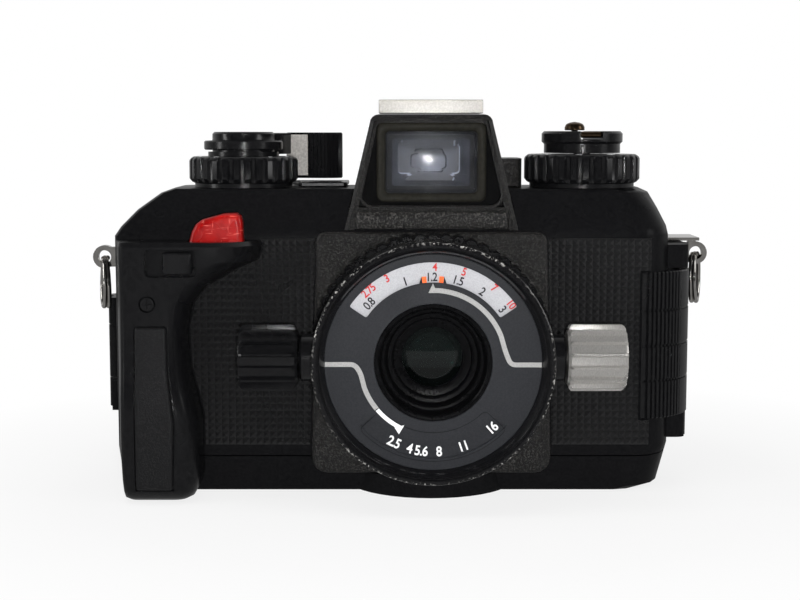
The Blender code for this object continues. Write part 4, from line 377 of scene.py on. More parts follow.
aluminium = finish("aluminium", (0.50, 0.485, 0.465), (0.64, 0.625, 0.60), 1800, 0.008, (0.26, 0.36), metallic=0.75,
                   stretch=(5.0, 1.0, 1.0))
chrome = finish("chrome", (0.60, 0.58, 0.55), (0.74, 0.72, 0.69), 500, 0.004, (0.06, 0.16), metallic=1.0)
steel = finish("steel", (0.42, 0.42, 0.42), (0.54, 0.54, 0.55), 300, 0.004, (0.26, 0.4), metallic=1.0,
               stretch=(1.0, 1.0, 8.0))
bronze = finish("bronze", (0.085, 0.055, 0.032), (0.20, 0.14, 0.085), 420, 0.01, (0.26, 0.42), metallic=1.0)
shoeMetal = finish("shoeMetal", (0.47, 0.45, 0.425), (0.57, 0.55, 0.52), 2200, 0.012, (0.3, 0.42), metallic=0.45)
# silver colour that paints the highlight on the advance lever's flat front face
leverPaintedHighlight = finish("leverPaintedHighlight", (0.40, 0.38, 0.36), (0.56, 0.54, 0.51), 1900, 0.02, (0.34, 0.46), metallic=0.3)
matteBlack = finish("matteBlack", (0.0016, 0.0016, 0.0018), (0.003, 0.003, 0.0032), 1500, 0.02, (0.6, 0.75),
                    specular=0.3)
bezelPlastic = finish("bezelPlastic", (0.011, 0.0105, 0.0085), (0.019, 0.018, 0.0145), 900, 0.006, (0.3, 0.42),
                      specular=0.12)
coreBlack = finish("coreBlack", (0.002, 0.002, 0.0022), (0.004, 0.004, 0.0045), 1200, 0.003, (0.22, 0.32),
                   specular=0.1)
# grey colour that paints the highlight on the front bevel of the counter bezel
bezelHighlightGrey = finish("bezelHighlightGrey", (0.07, 0.07, 0.072), (0.10, 0.10, 0.10), 1800, 0.02, (0.4, 0.5))
boardGreen = finish("boardGreen", (0.006, 0.05, 0.018), (0.012, 0.09, 0.03), 700, 0.01, (0.35, 0.5))


def glass(name, tint, roughness=0.02, ior=1.5, solid=False):
    # clear parts let lamp light through, so that what lies behind them is lit
    material, tree, shader = blankMaterial(name)
    setInputs(shader, {"Transmission Weight": 0.0 if solid else 1.0, "IOR": ior, "Coat Weight": 0.08,
                       "Coat Tint": (0.86, 0.90, 1.0, 1.0)})
    wide = noise(tree, 220, 2.0)
    link(tree, ramp(tree, wide, roughness, roughness + 0.02), shader.inputs["Roughness"])
    darker = tuple(channel * 0.88 for channel in tint)
    link(tree, blended(tree, wide, darker, tint), shader.inputs["Base Color"])
    if not solid:
        clear = add(tree, "BsdfTransparent")
        setInputs(clear, {"Color": (*tint, 1.0)})
        shadow = add(tree, "LightPath").outputs["Is Shadow Ray"]
        surface = mixed(tree, shadow, shader.outputs[0], clear.outputs[0])
        link(tree, surface, tree.nodes["Material Output"].inputs["Surface"])
    return material


clearGlass = glass("clearGlass", (0.86, 0.88, 0.93))
smokedGlass = glass("smokedGlass", (0.24, 0.235, 0.225))
coatedGlass = glass("coatedGlass", (0.55, 0.66, 0.62), 0.008, 1.55)
darkGlass = glass("darkGlass", (0.0012, 0.0035, 0.0032), 0.02, 1.5, solid=True)


def rubbed(material, fac, bare):
    # shows the bare colour where the finish is worn off
    tree = material.node_tree
    base = tree.nodes["Principled BSDF"].inputs["Base Color"]
    link(tree, blended(tree, fac, base.links[0].from_socket, bare), base)
    return material


def wornEnamel():
    # enamel of the barrel, rubbed to bright specks along its outer rim
    material = finish("wornEnamel", (0.003, 0.003, 0.0035), (0.006, 0.006, 0.0065), 1200, 0.003, (0.14, 0.24))
    tree = material.node_tree
    place = axes(tree)
    radius = reachOf(tree, place["X"], figure(tree, "SUBTRACT", place["Z"], lensZ * mm))
    rim = ramp(tree, radius, 0.0, 1.0, 0.02755, 0.0281)
    front = ramp(tree, place["Y"], 1.0, 0.0, -0.0452, -0.0446)
    specks = ramp(tree, noise(tree, 1500, 4.0), 0.0, 1.0, 0.53, 0.60)
    patches = ramp(tree, noise(tree, 160, 2.0), 0.15, 1.0, 0.42, 0.60)
    worn = figure(tree, "MULTIPLY", figure(tree, "MULTIPLY", rim, front), figure(tree, "MULTIPLY", specks, patches))
    return rubbed(material, worn, (0.42, 0.41, 0.39))


def releaseRed():
    # red plastic with fine pale scratches on it
    material = finish("releaseRed", (0.22, 0.002, 0.002), (0.34, 0.004, 0.003), 260, 0.004, (0.2, 0.34), coat=0.1)
    tree = material.node_tree
    streaks = ramp(tree, noise(tree, 240, 5.0, (1.0, 1.0, 9.0), (0.0, radians(35), 0.0)), 0.0, 0.8, 0.62, 0.70)
    marks = ramp(tree, noise(tree, 300, 5.0, (9.0, 1.0, 1.0), (0.0, radians(-24), 0.0)), 0.0, 0.8, 0.64, 0.72)
    return rubbed(material, figure(tree, "MAXIMUM", streaks, marks), (0.75, 0.16, 0.13))


barrelEnamel = wornEnamel()
redPlastic = releaseRed()
print("finishes ready")


# Body

baseSeam = 9.4


def bodyShell():
    # casting and base cover as one skin, without the seam between them
    shape = joined(copied("body_casting"), copied("base_cover"))
    seam = [vert for vert in shape.verts if abs(vert.co.z - baseSeam) < 0.05]
    for vert in seam:
        vert.co.z = baseSeam
    bmesh.ops.remove_doubles(shape, verts=seam, dist=0.03)
    inside = [face for face in shape.faces if all(abs(vert.co.z - baseSeam) < 0.001 for vert in face.verts)]
    bmesh.ops.delete(shape, geom=inside, context="FACES_ONLY")
    bmesh.ops.dissolve_limit(shape, angle_limit=radians(0.6), verts=shape.verts, edges=shape.edges)
    return shape


piece("bodyShell", bodyShell(), blackEnamel, "camera_body", "cast_black", ["body_casting", "base_cover"],
      bevel=0.45)
copyPiece("frontPlate", "front_plate", wrinklePaint, "camera_body", "wrinkle_black", bevel=0.5, segments=3)

pyramids = {"pitch": 1.7, "height": 0.55, "valley": -19.05, "back": -18.85, "land": 0.03}


def pyramidField(x0, x1, z0, z1, valley, back, height):
    # field of small four-sided pyramids with narrow lands between them
    pitch, land = pyramids["pitch"], pyramids["land"]
    columns = int((x1 - x0) / pitch) + 1
    rows = int((z1 - z0) / pitch) + 1
    shape = bmesh.new()
    grid = {}

    def corner(i, k, a, b):
        key = (i, k, a, b)
        if key not in grid:
            x = x0 + pitch * i + (land if a else 0.0) * (1 if a > 0 else -1)
            z = z0 + pitch * k + (land if b else 0.0) * (1 if b > 0 else -1)
            grid[key] = shape.verts.new((x, valley, z))
        return grid[key]

    for i in range(columns):
        for k in range(rows):
            low = [corner(i, k, 1, 1), corner(i + 1, k, -1, 1), corner(i + 1, k + 1, -1, -1), corner(i, k + 1, 1, -1)]
            x = x0 + pitch * (i + 0.5)
            z = z0 + pitch * (k + 0.5)
            tip = shape.verts.new((x, valley - height, z))
            for a, b in zip(low, low[1:] + low[:1]):
                shape.faces.new((a, b, tip))
    for i in range(columns + 1):
        for k in range(rows + 1):
            around = [corner(i, k, -1, -1), corner(i, k, 1, -1), corner(i, k, 1, 1), corner(i, k, -1, 1)]
            shape.faces.new(around)
            if i < columns:
                shape.faces.new([corner(i, k, 1, -1), corner(i + 1, k, -1, -1), corner(i + 1, k, -1, 1),
                                 corner(i, k, 1, 1)])
            if k < rows:
                shape.faces.new([corner(i, k, -1, 1), corner(i, k, 1, 1), corner(i, k + 1, 1, -1),
                                 corner(i, k + 1, -1, -1)])
    edges = [edge for edge in shape.edges if len(edge.link_faces) == 1]
    made = bmesh.ops.extrude_edge_only(shape, edges=edges)["geom"]
    lower = [part for part in made if isinstance(part, bmesh.types.BMVert)]
    for vert in lower:
        vert.co.y = back
    rim = [edge for edge in made if isinstance(edge, bmesh.types.BMEdge)]
    bmesh.ops.edgeloop_fill(shape, edges=[edge for edge in rim if all(v in set(lower) for v in edge.verts)])
    bmesh.ops.recalc_face_normals(shape, faces=shape.faces)
    return shape


def pyramidPanel(name, node, x0, z0):
    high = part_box(node)[1]
    field = pyramidField(x0, high[0] / mm + 2, z0, high[2] / mm + 2, pyramids["valley"], pyramids["back"],
                         pyramids["height"])
    piece(name, carved(field, copied(node), "INTERSECT"), pyramidRubber, "camera_body", "rubber_black", [node],
          sharp=20)


pyramidPanel("pyramidPanelLeft", "panel_left", -62.0, 10.6)
pyramidPanel("pyramidPanelRight", "panel_right", 26.0, 10.6)
print("body and panels ready")


# Grip, release and lock

copyPiece("frontGrip", "hand_grip", gripEnamel, "camera_body", "gloss_black", bevel=0.4, segments=3)
copyPiece("gripPad", "grip_insert", grainRubber, "camera_body", "rubber_black", bevel=0.8, segments=4)
copyPiece("gripScrew", "grip_screw", dialEnamel, "camera_body", "gloss_black", bevel=0.12)

releaseShape = {"left": -58.8, "right": -45.5, "front": -25.5, "back": -20.3, "base": 62.3, "top": 69.9}


def releaseButton():
    left, right, base, top = (releaseShape[side] for side in ("left", "right", "base", "top"))
    front, back = releaseShape["front"], releaseShape["back"]
    outline = [(left, base), (right, base), (right - 0.2, top - 2.0), (right - 0.6, top - 0.7),
               (right - 1.6, top + 0.1), (right - 4.5, top), (left + 5.5, top - 0.9), (left + 3.4, top - 1.5),
               (left + 1.9, top - 2.6), (left + 0.9, top - 4.4)]
    middle = (left + right) / 2
    rings = []
    for inset, level in ((1.1, front), (0.35, front + 0.3), (0.0, front + 1.0), (0.0, back - 0.9), (0.9, back)):
        rings.append([(x + (inset if x < middle else -inset) * 0.8, level, z - (0.0 if z == base else inset))
                      for x, z in outline])
    stem = lathe([(0, 58.2), (1.5, 58.2), (1.5, 62.5), (0, 62.5)], (-53.5, -22.9), steps=32)
    return joined(skin(rings), stem)


piece("releaseButton", releaseButton(), redPlastic, "shutter_release", "release_red", ["shutter_release"],
      sharp=180, rounded=0.22)

lock = {"low": 55.6, "high": 61.0, "front": -31.5, "ribs": (-58.6, -57.9), "ribWidth": 0.35}
lockRibs = [block(x, x + lock["ribWidth"], lock["front"] - 0.15, lock["front"] + 0.3, lock["low"] + 0.5,
                  lock["high"] - 0.5) for x in lock["ribs"]]
piece("lockSlide", joined(copied("release_lock"), *lockRibs), dialEnamel, "release_lock", "gloss_black",
      ["release_lock"], bevel=0.15)
print("grip ready")


# Viewfinder

hump = {"low": 65.5, "top": 93.7, "frontLow": -19.2, "frontTop": -16.4}
recess = {"lowHalf": 17.8, "topHalf": 14.0, "low": 71.1, "top": 92.1}


def humpFront(z):
    return hump["frontLow"] + (hump["frontTop"] - hump["frontLow"]) * (z - hump["low"]) / (hump["top"] - hump["low"])


def humpHousing():
    shape = copied("finder_housing")
    for face in shape.faces:
        middle = face.calc_center_median()
        inside = recess["low"] - 0.3 < middle.z < recess["top"] + 0.3 and abs(middle.x) < recess["lowHalf"] + 0.3
        if inside and middle.y > humpFront(middle.z) + 0.35 and middle.y < 15.9:
            share = (middle.z - recess["low"]) / (recess["top"] - recess["low"])
            half = recess["lowHalf"] + (recess["topHalf"] - recess["lowHalf"]) * share
            if abs(middle.x) < half + 0.05:
                face.material_index = 1
    return shape


piece("humpShell", humpHousing(), [wrinklePaint, matteBlack], "camera_body", "wrinkle_black", ["finder_housing"],
      bevel=0.55, segments=3)


def recessOutline(grow, radius=3.0, topRadius=1.5):
    # leaning sides with round lower corners, as x and z
    points = []
    for x, z, bend, start, sweep in (
            (recess["lowHalf"] + grow - 0.3 - radius, recess["low"] - grow + radius, radius, 270, 80),
            (recess["topHalf"] + grow - topRadius, recess["top"] + grow - topRadius, topRadius, -10, 100)):
        for i in range(7):
            turn = radians(start + sweep * i / 6)
            points.append((x + bend * cos(turn), z + bend * sin(turn)))
    return points + [(-x, z) for x, z in reversed(points)]


def recessLip():
    # raised lip round the recess, with the recess's rounded lower corners behind it
    steps = ((0.15, 0.06), (0.15, -0.10), (-0.12, -0.16), (-0.42, -0.06), (-0.46, 0.5))
    return skin([[(x, humpFront(z) + out, z) for x, z in recessOutline(grow)] for grow, out in steps], closed=True)


piece("recessLip", recessLip(), wrinklePaint, "camera_body", "wrinkle_black", sharp=50)

bezel = {"half": 13.5, "low": 72.2, "top": 91.8, "front": -15.8, "back": -13.6}


def windowBezel():
    half, low, top = bezel["half"], bezel["low"], bezel["top"]
    front, back = bezel["front"], bezel["back"]
    rings = []
    for inset, y, radius in ((0.0, back, 1.9), (0.0, front + 0.5, 1.9), (0.18, front + 0.15, 1.8), (0.5, front, 1.6),
                             (1.5, front + 0.05, 1.3), (2.0, front + 0.35, 1.2), (2.2, front + 0.8, 1.1),
                             (2.25, back, 1.1)):
        outline = roundedBox(-half + inset, half - inset, low + inset, top - inset, radius)
        rings.append([(x, y, z) for x, z in outline])
    return skin(rings, closed=True)


piece("windowBezel", windowBezel(), bezelPlastic, "camera_body", "gloss_black", ["finder_bezel"], sharp=50)


def curvedPane(x0, x1, z0, z1, y, thick, bend, radius):
    # pane with a slightly domed front, as one closed grid
    centreX, centreZ = (x0 + x1) / 2, (z0 + z1) / 2
    outline = roundedBox(x0, x1, z0, z1, radius)
    rings = []
    for share in (0.0001, 0.25, 0.5, 0.75, 1.0):
        near = [((x - centreX) * share, (z - centreZ) * share) for x, z in outline]
        rings.append([(centreX + dx, y + (dx * dx + dz * dz) / (2 * bend), centreZ + dz) for dx, dz in near])
    return skin(rings + [[(x, y + thick, z) for x, z in outline]])


piece("frontWindow", curvedPane(-11.25, 11.25, 74.45, 89.55, -15.35, 1.5, 400.0, 0.9), clearGlass, "camera_body",
      "clear_glass", ["finder_window"], sharp=50)
piece("finderLens", curvedPane(-9.6, 9.6, 76.0, 88.0, -9.5, 2.6, 62.0, 0.8), clearGlass, "camera_body", "clear_glass",
      sharp=50)
copyPiece("eyepieceGlass", "eyepiece_lens", smokedGlass, "camera_body", "clear_glass", bevel=0.2)


def steppedFrames():
    # stepped frames inside the finder, each smaller and further back
    made = []
    for y, halfX, low, high, width in ((-12.9, 10.3, 75.7, 88.3, 0.5), (-6.0, 9.9, 76.0, 88.0, 0.9),
                                       (0.5, 9.0, 76.6, 87.6, 1.0), (7.0, 8.0, 77.3, 87.3, 1.0)):
        outer = roundedBox(-halfX - 0.4, halfX + 0.4, low - 0.4, high + 0.4, 0.6)
        inner = roundedBox(-halfX + width, halfX - width, low + width, high - width, 1.0)
        made.append(carved(prism(outer, y, y + 0.7), prism(inner, y - 1, y + 2)))
    return joined(*made)


piece("finderFrames", steppedFrames(), bezelPlastic, "camera_body", "gloss_black", sharp=30)


def outlineBar(outline, y0, y1, width):
    # thin closed bar along an outline in x and z
    centreX = sum(x for x, z in outline) / len(outline)
    centreZ = sum(z for x, z in outline) / len(outline)
    rings = []
    for inset, y in ((0.0, y1), (0.0, y0), (width, y0), (width, y1)):
        ring = []
        for x, z in outline:
            reach = hypot(x - centreX, z - centreZ)
            ring.append((x - (x - centreX) / reach * inset, y, z - (z - centreZ) / reach * inset))
        rings.append(ring)
    return skin(rings, closed=True)


piece("targetFrame", outlineBar(roundedBox(-3.6, 3.6, 80.0, 83.4, 0.7), 15.9, 16.1, 0.3), bezelPlastic, "camera_body",
      "gloss_black", sharp=40)

plateShape = {"half": 18.3, "low": 65.95, "top": 69.9}


def finderPlate():
    half, low, top = plateShape["half"], plateShape["low"], plateShape["top"]
    outline = roundedBox(-half, half, low, top, 0.7, 4)
    slim = roundedBox(-half + 0.25, half - 0.25, low + 0.25, top - 0.25, 0.6, 4)
    return skin([[(x, humpFront(z) + out, z) for x, z in ring]
                 for ring, out in ((slim, -0.1), (outline, 0.1), (outline, 0.5))])


piece("finderPlate", finderPlate(), coarseWrinkle, "camera_body", "wrinkle_black", ["name_plate"], sharp=50)
copyPiece("flashShoe", "accessory_shoe", shoeMetal, "camera_body", "bright_aluminium", bevel=0.22, segments=3)
print("viewfinder ready")


# Dials and levers on the top plate

dials = {"lands": 30, "land": 0.62, "depth": 0.75}


def flutedDial(x, radius, top, hole, seat=75.5):
    land, depth = dials["land"], dials["depth"]
    pitch = 2 * pi / dials["lands"]
    steps = [(2 * pi * i / dials["lands"] + share * pitch, high) for i in range(dials["lands"])
             for share, high in ((0.02, 0.35), (0.10, 1.0), (land - 0.08, 1.0), (land, 0.35), (land + 0.08, 0.0),
                                 (0.94, 0.0))]
    foot = radius - 1.4
    rings = []
    for z, reach, cut in ((seat, foot, 0.0), (seat + 1.0, foot, 0.0), (seat + 1.35, foot + 0.7, 0.0),
                          (seat + 1.8, radius - 0.3, depth * 0.5), (seat + 2.2, radius, depth),
                          (top - 1.1, radius, depth), (top - 0.6, radius - 0.25, depth * 0.5),
                          (top - 0.2, radius - 0.75, 0.0), (top, radius - 1.1, 0.0), (top, hole, 0.0),
                          (seat, hole, 0.0)):
        ring = []
        for turn, high in steps:
            r = reach - cut * (1.0 - high)
            ring.append((x + r * cos(turn), r * sin(turn), z))
        rings.append(ring)
    return skin(rings, closed=True)


def ringFigures(words, x, radius, z, size, spanStart, spanEnd):
    # figures round a dial, read from above
    items = []
    for index, text in enumerate(words):
        turn = radians(spanStart + (spanEnd - spanStart) * index / (len(words) - 1))
        items.append((text, size, radius * cos(turn), radius * sin(turn), turn - pi / 2, 0.0))
    shape = lettered(items, 0.0, 0.06)
    lay = Matrix.Translation((x, 0.0, z)) @ Matrix.Rotation(-pi / 2, 4, "X")
    bmesh.ops.transform(shape, matrix=lay, verts=shape.verts)
    return shape


dialX = {"speed": -47.6, "film": 38.7}
piece("speedDial", flutedDial(dialX["speed"], 13.8, 83.2, 2.5), dialEnamel, "speed_dial", "gloss_black",
      ["speed_dial"], sharp=28)
speeds = ringFigures(["A", "1000", "500", "250", "125", "60", "30", "B"], dialX["speed"], 11.6, 83.22, 1.25, 100, 345)
piece("speedFigures", speeds, markWhite, "speed_dial", "scale_white", sharp=50)
piece("filmDial", flutedDial(dialX["film"], 14.65, 83.8, 3.2), dialEnamel, "iso_dial", "gloss_black", ["iso_dial"],
      sharp=28)
films = ringFigures(["25", "50", "100", "200", "400", "800", "1600"], dialX["film"], 12.1, 83.82, 1.4, 60, 300)
piece("filmFigures", films, markWhite, "iso_dial", "scale_white", sharp=50)

lever = {"x": dialX["speed"], "low": 83.3, "top": 89.4, "tipLow": 77.4, "ribs": 9}


def leverHub():
    x, low, top = lever["x"], lever["low"], lever["top"]
    profile = [(0, 57.3), (2.2, 57.3), (2.2, low), (9.0, low), (9.0, low + 1.1), (7.9, low + 1.1), (7.9, low + 1.6),
               (9.7, low + 1.6), (10.0, low + 1.9), (10.0, top - 2.5), (9.7, top - 2.2), (8.0, top - 2.1),
               (7.9, top - 1.9), (7.9, top - 0.5), (7.4, top), (6.6, top), (6.4, top - 0.25), (0, top - 0.25)]
    return lathe(profile, (x, 0.0), steps=96)


def leverTip():
    # thumb block with upright ribs on its outer part; nine ribs and the room of four more along the curve
    x = lever["x"]
    curve = [(15.9, 8.5), (20.8, 7.75), (23.6, 8.6), (24.9, 10.9), (24.0, 13.8)]
    fine = [(a[0] + (b[0] - a[0]) * i / 8, a[1] + (b[1] - a[1]) * i / 8)
            for a, b in zip(curve, curve[1:]) for i in range(8)]
    lengths = [0.0]
    for a, b in zip(fine, fine[1:]):
        lengths.append(lengths[-1] + hypot(b[0] - a[0], b[1] - a[1]))
    ribbed = []
    count = lever["ribs"] + 4
    for k in range(count * 4):
        goal = k * lengths[-1] / count / 4
        index = min(max(i for i in range(len(lengths)) if lengths[i] <= goal + 1e-9), len(fine) - 2)
        share = (goal - lengths[index]) / (lengths[index + 1] - lengths[index])
        (ax, ay), (bx, by) = fine[index], fine[index + 1]
        size = hypot(bx - ax, by - ay)
        inset = (0.0, 0.0, 0.45, 0.45)[k % 4]
        ribbed.append((ax + (bx - ax) * share - (by - ay) / size * inset,
                       ay + (by - ay) * share + (bx - ax) / size * inset))
    outline = [(x + a, b) for a, b in [(10.2, 10.4)] + ribbed + [(24.0, 13.8), (18.3, 16.2), (10.1, 16.7)]]
    middle = (x + 17.5, 12.3)
    slim = [(a + (middle[0] - a) * 0.035, b + (middle[1] - b) * 0.06) for a, b in outline]
    return chamfered(outline, slim, lever["tipLow"], lever["top"] - 0.15, 0.35, "Z")


def leverArm():
    outline = [(3.6, -3.0), (8.1, 2.0), (11.4, 9.8), (14.6, 12.0), (11.1, 16.0), (0.6, 5.0)]
    return prism([(lever["x"] + a, b) for a, b in outline], 83.7, lever["top"] - 0.25, "Z")


def leverHighlightPlate():
    # silver plate on the front of the thumb block: a painted highlight of its flat face
    a, b = (-37.2, 10.25), (-31.75, 8.42)
    length = hypot(b[0] - a[0], b[1] - a[1])
    nx, ny = (b[1] - a[1]) / length, -(b[0] - a[0]) / length
    outline = [(x + nx * out, y + ny * out) for (x, y), out in ((a, 0.12), (b, 0.12), (b, -0.5), (a, -0.5))]
    return prism(outline, 78.1, 88.7, "Z")


piece("leverHub", leverHub(), dialEnamel, "advance_lever", "gloss_black", ["advance_lever"], sharp=30)
piece("leverArm", leverArm(), dialEnamel, "advance_lever", "gloss_black", bevel=0.3)
piece("leverTip", leverTip(), dialEnamel, "advance_lever", "gloss_black", sharp=30)
piece("leverHighlightPlate", leverHighlightPlate(), leverPaintedHighlight, "advance_lever", "bright_aluminium", bevel=0.1)
copyPiece("counterFrame", "counter_bezel", dialEnamel, "camera_body", "gloss_black", bevel=0.3)
# thin grey plate on the bezel front: a painted highlight of its bevel
piece("counterHighlightPlate", block(-32.6, -22.0, -3.05, -2.6, 75.75, 76.45), bezelHighlightGrey, "camera_body", "gloss_black",
      bevel=0.1)
copyPiece("counterDisc", "counter_dial", scaleSilver, "counter_dial", "scale_white", bevel=0.15)
counts = piece("counterFigures", ringFigures(["0", "12", "24", "36"], 0.0, 2.5, 0.0, 1.3, -120, 150), markBlack,
               "counter_dial", "gloss_black", sharp=50)
counts.data.transform(Matrix.Translation((-0.0263, 0.0015, 0.07502)))

copyPiece("rewindKnob", "rewind_knob", dialEnamel, "rewind_knob", "gloss_black", bevel=0.25)
copyPiece("rewindCrank", "rewind_crank", bronze, "rewind_crank", "bronze", bevel=0.2)
copyPiece("crankHandle", "crank_handle", bronze, "crank_handle", "bronze", bevel=0.2, sharp=40)
print("top plate ready")


# Latch lever at the right end

latch = {"outer": 65.8, "front": -19.9, "centre": (50.0, -3.0), "pin": (63.15, -3.0), "barrel": 2.65, "reach": 84,
         "low": 18.8, "high": 55.2, "edge": 0.25, "ribLow": -78, "ribHigh": -38, "ribs": 9,
         "grooves": (28.2, 36.9, 45.7)}


def latchPoint(turn, inset=0.0):
    cx, cy = latch["centre"]
    return (cx + (latch["outer"] - cx - inset) * cos(turn), cy + (cy - latch["front"] - inset) * sin(turn))


def latchOutline(extra):
    # outer curve with ribs, then the barrel at the pin and the inner curve
    low, high = radians(latch["ribLow"]), radians(latch["ribHigh"])
    points = [latchPoint(-radians(latch["reach"]), extra)]
    for k in range(latch["ribs"]):
        for share, inset in ((0.0, 0.55), (0.12, 0.0), (0.62, 0.0), (0.74, 0.55)):
            points.append(latchPoint(low + (high - low) * (k + share) / latch["ribs"], inset + extra))
    points += [latchPoint(high - high * i / 12, extra) for i in range(13)]
    (pinX, pinY), radius = latch["pin"], latch["barrel"] - extra
    for step in range(17):
        turn = step / 16 * pi
        points.append((pinX + radius * cos(turn), pinY + radius * sin(turn)))
    for i in range(21):
        turn = -radians(latch["reach"]) * i / 20
        points.append((51.5 + 9.1 * cos(turn), -5.5 + 13.1 * sin(turn)))
    return points


def latchLever():
    low, high, edge = latch["low"], latch["high"], latch["edge"]
    stops = [(low, 0.3), (low + edge, 0.0)]
    for z in latch["grooves"]:
        stops += [(z - 0.32, 0.0), (z - 0.2, 0.45), (z + 0.2, 0.45), (z + 0.32, 0.0)]
    stops += [(high - edge, 0.0), (high, 0.3)]
    return skin([[(x, y, z) for x, y in latchOutline(extra)] for z, extra in stops])


piece("latchLever", latchLever(), dialEnamel, "latch_lever", "gloss_black", ["latch_lever"], sharp=28)
print("latch ready")


# Lugs and strap rings

strapRing = {"wire": 0.6, "half": 3.6, "drop": 12.5, "turn": radians(18), "spread": 0.56, "steps": 110}
for name, node in (("lugLeft", "strap_lug_left"), ("lugRight", "strap_lug_right")):
    copyPiece(name, node, chrome, "camera_body", "chrome", bevel=0.3, segments=3)


def splitRing(x, y, z, side):
    # two turns of wire lying side by side, hung in the hole of the lug
    wire, half, drop = strapRing["wire"], strapRing["half"], strapRing["drop"]
    edge = (1.2 + wire) / half
    dip = drop / 2 * (1 - sqrt(1 - edge * edge))
    middle = z - 1.7 + wire + 0.02 + dip - drop / 2
    turn = strapRing["turn"] * (1 if side < 0 else -1)
    across = Vector((-sin(turn), cos(turn), 0.0))
    normal = Vector((cos(turn), sin(turn), 0.0))
    path = []
    for i in range(strapRing["steps"] + 1):
        share = i / strapRing["steps"]
        angle = radians(100) + 4 * pi * share
        shift = strapRing["spread"] * max(-1.0, min(1.0, (share - 0.5) * 5.0))
        shrink = 1.0 - 0.05 * (1.0 - abs(sin(angle))) if sin(angle) > 0 else 1.0
        centre = Vector((x, y, middle + drop / 2 * sin(angle)))
        path.append(centre + across * half * cos(angle) * shrink + normal * shift)
    return tube(path, wire, 12)


piece("strapRingLeft", splitRing(-83.1, -2.0, 57.7, -1), chrome, "strap_ring_left", "chrome", ["strap_ring_left"],
      sharp=50)
piece("strapRingRight", splitRing(69.6, 8.0, 58.0, 1), chrome, "strap_ring_right", "chrome", ["strap_ring_right"],
      sharp=50)
print("strap rings ready")


# Lens

def polar(radius, degrees):
    turn = radians(degrees)
    return radius * cos(turn), lensZ + radius * sin(turn)


def arc(radius, a, b, steps):
    return [polar(radius, a + (b - a) * i / steps) for i in range(steps + 1)]


centre = (0.0, lensZ)
knobY = -33.0
barrelProfile = [(25.3, -42.3), (25.32, -42.9), (25.5, -43.3), (26.15, -45.55), (26.45, -45.85), (26.7, -45.6),
                 (26.9, -45.55), (27.05, -45.85), (27.3, -46.0), (27.75, -45.95), (28.1, -45.7), (28.25, -45.3),
                 (28.25, -43.6), (28.0, -43.35), (28.0, -43.1), (28.25, -42.85), (28.25, -31.6), (27.0, -31.6),
                 (27.0, -25.4), (24.3, -23.8), (24.3, -22.1), (17.0, -22.1), (17.0, -9.0), (14.0, -9.0),
                 (14.0, -36.8), (25.3, -36.8)]


def lensBarrel():
    # with the bosses of the two knobs and the lugs of the bayonet
    parts = [lathe(barrelProfile, centre, "Y", 160, closed=True)]
    for side, middle in ((-1, 180), (1, 0)):
        inner, outer = side * 25.6, side * 31.4
        profile = [(0, inner), (5.6, inner), (5.6, outer - side * 0.5), (5.1, outer), (0, outer)]
        parts.append(lathe(profile, (knobY, lensZ), "X", 48))
        parts.append(prism(arc(18.6, middle - 28, middle + 28, 8) + arc(16.4, middle + 28, middle - 28, 8),
                           -13.8, -11.8))
    return joined(*parts)


piece("lensBarrel", lensBarrel(), barrelEnamel, "lens", "gloss_black", ["lens_barrel"], sharp=30)


def notchedRing():
    # ring with small round notches all the way round
    count, radius, depth, bore = 57, 29.4, 0.75, 27.05
    pitch = 2 * pi / count
    outline = []
    for i in range(count):
        start = pitch * i
        outline += [(radius, start), (radius, start + pitch * 0.40)]
        outline += [(radius - depth * sin(pi * k / 6), start + pitch * (0.40 + 0.60 * k / 6)) for k in range(1, 6)]
    rings = []
    for y, shrink in ((-31.5, 0.35), (-31.15, 0.0), (-25.85, 0.0), (-25.5, 0.35)):
        rings.append([((r - shrink) * cos(t), y, lensZ + (r - shrink) * sin(t)) for r, t in outline])
    for y in (-25.5, -31.5):
        rings.append([(bore * cos(t), y, lensZ + bore * sin(t)) for r, t in outline])
    bar = lathe([(0, -32), (5.62, -32), (5.62, 32), (0, 32)], (knobY, lensZ), "X", 48)
    return carved(skin(rings, closed=True), bar)


piece("notchedRing", notchedRing(), coreBlack, "lens", "gloss_black", ["flange_ring"], sharp=30)


def windowOutline(inner, outer, start, end, corner=0.55):
    # ring window with small round corners
    points = []
    for radius, a, b, toward in ((outer, start, end, -1), (inner, end, start, 1)):
        slack = corner / radius * 180 / pi * (1 if b > a else -1)
        corners = [(radius + toward * corner * (1 - sin(radians(90 * k / 4))), slack * (1 - cos(radians(90 * k / 4))))
                   for k in (1, 2, 3)]
        points += [polar(reach, a + shift) for reach, shift in corners]
        points += arc(radius, a + slack, b - slack, 60)
        points += [polar(reach, b - shift) for reach, shift in reversed(corners)]
    return points


def lensFace():
    shape = lathe([(13.72, -42.05), (13.85, -42.2), (25.2, -42.2), (25.26, -42.14), (25.26, -41.8), (13.72, -41.8)],
                  centre, "Y", 160, closed=True)
    shape = carved(shape, prism(windowOutline(18.7, 23.4, 34, 146), -43, -40))
    return carved(shape, prism(windowOutline(18.8, 22.6, 220, 319.5), -43, -40))


piece("lensFace", lensFace(), slatePaint, "lens", "slate_paint", ["lens_face"], sharp=30)


def ribbon(path, width, y, thick):
    # flat line along a path of x and z, slightly raised
    left, right = [], []
    last = len(path) - 1
    for i, (x, z) in enumerate(path):
        ax, az = path[max(i - 1, 0)]
        bx, bz = path[min(i + 1, last)]
        size = hypot(bx - ax, bz - az)
        nx, nz = -(bz - az) / size * width / 2, (bx - ax) / size * width / 2
        left.append((x + nx, z + nz))
        right.append((x - nx, z - nz))
    return prism(left + right[::-1], y - thick, y + 0.02)


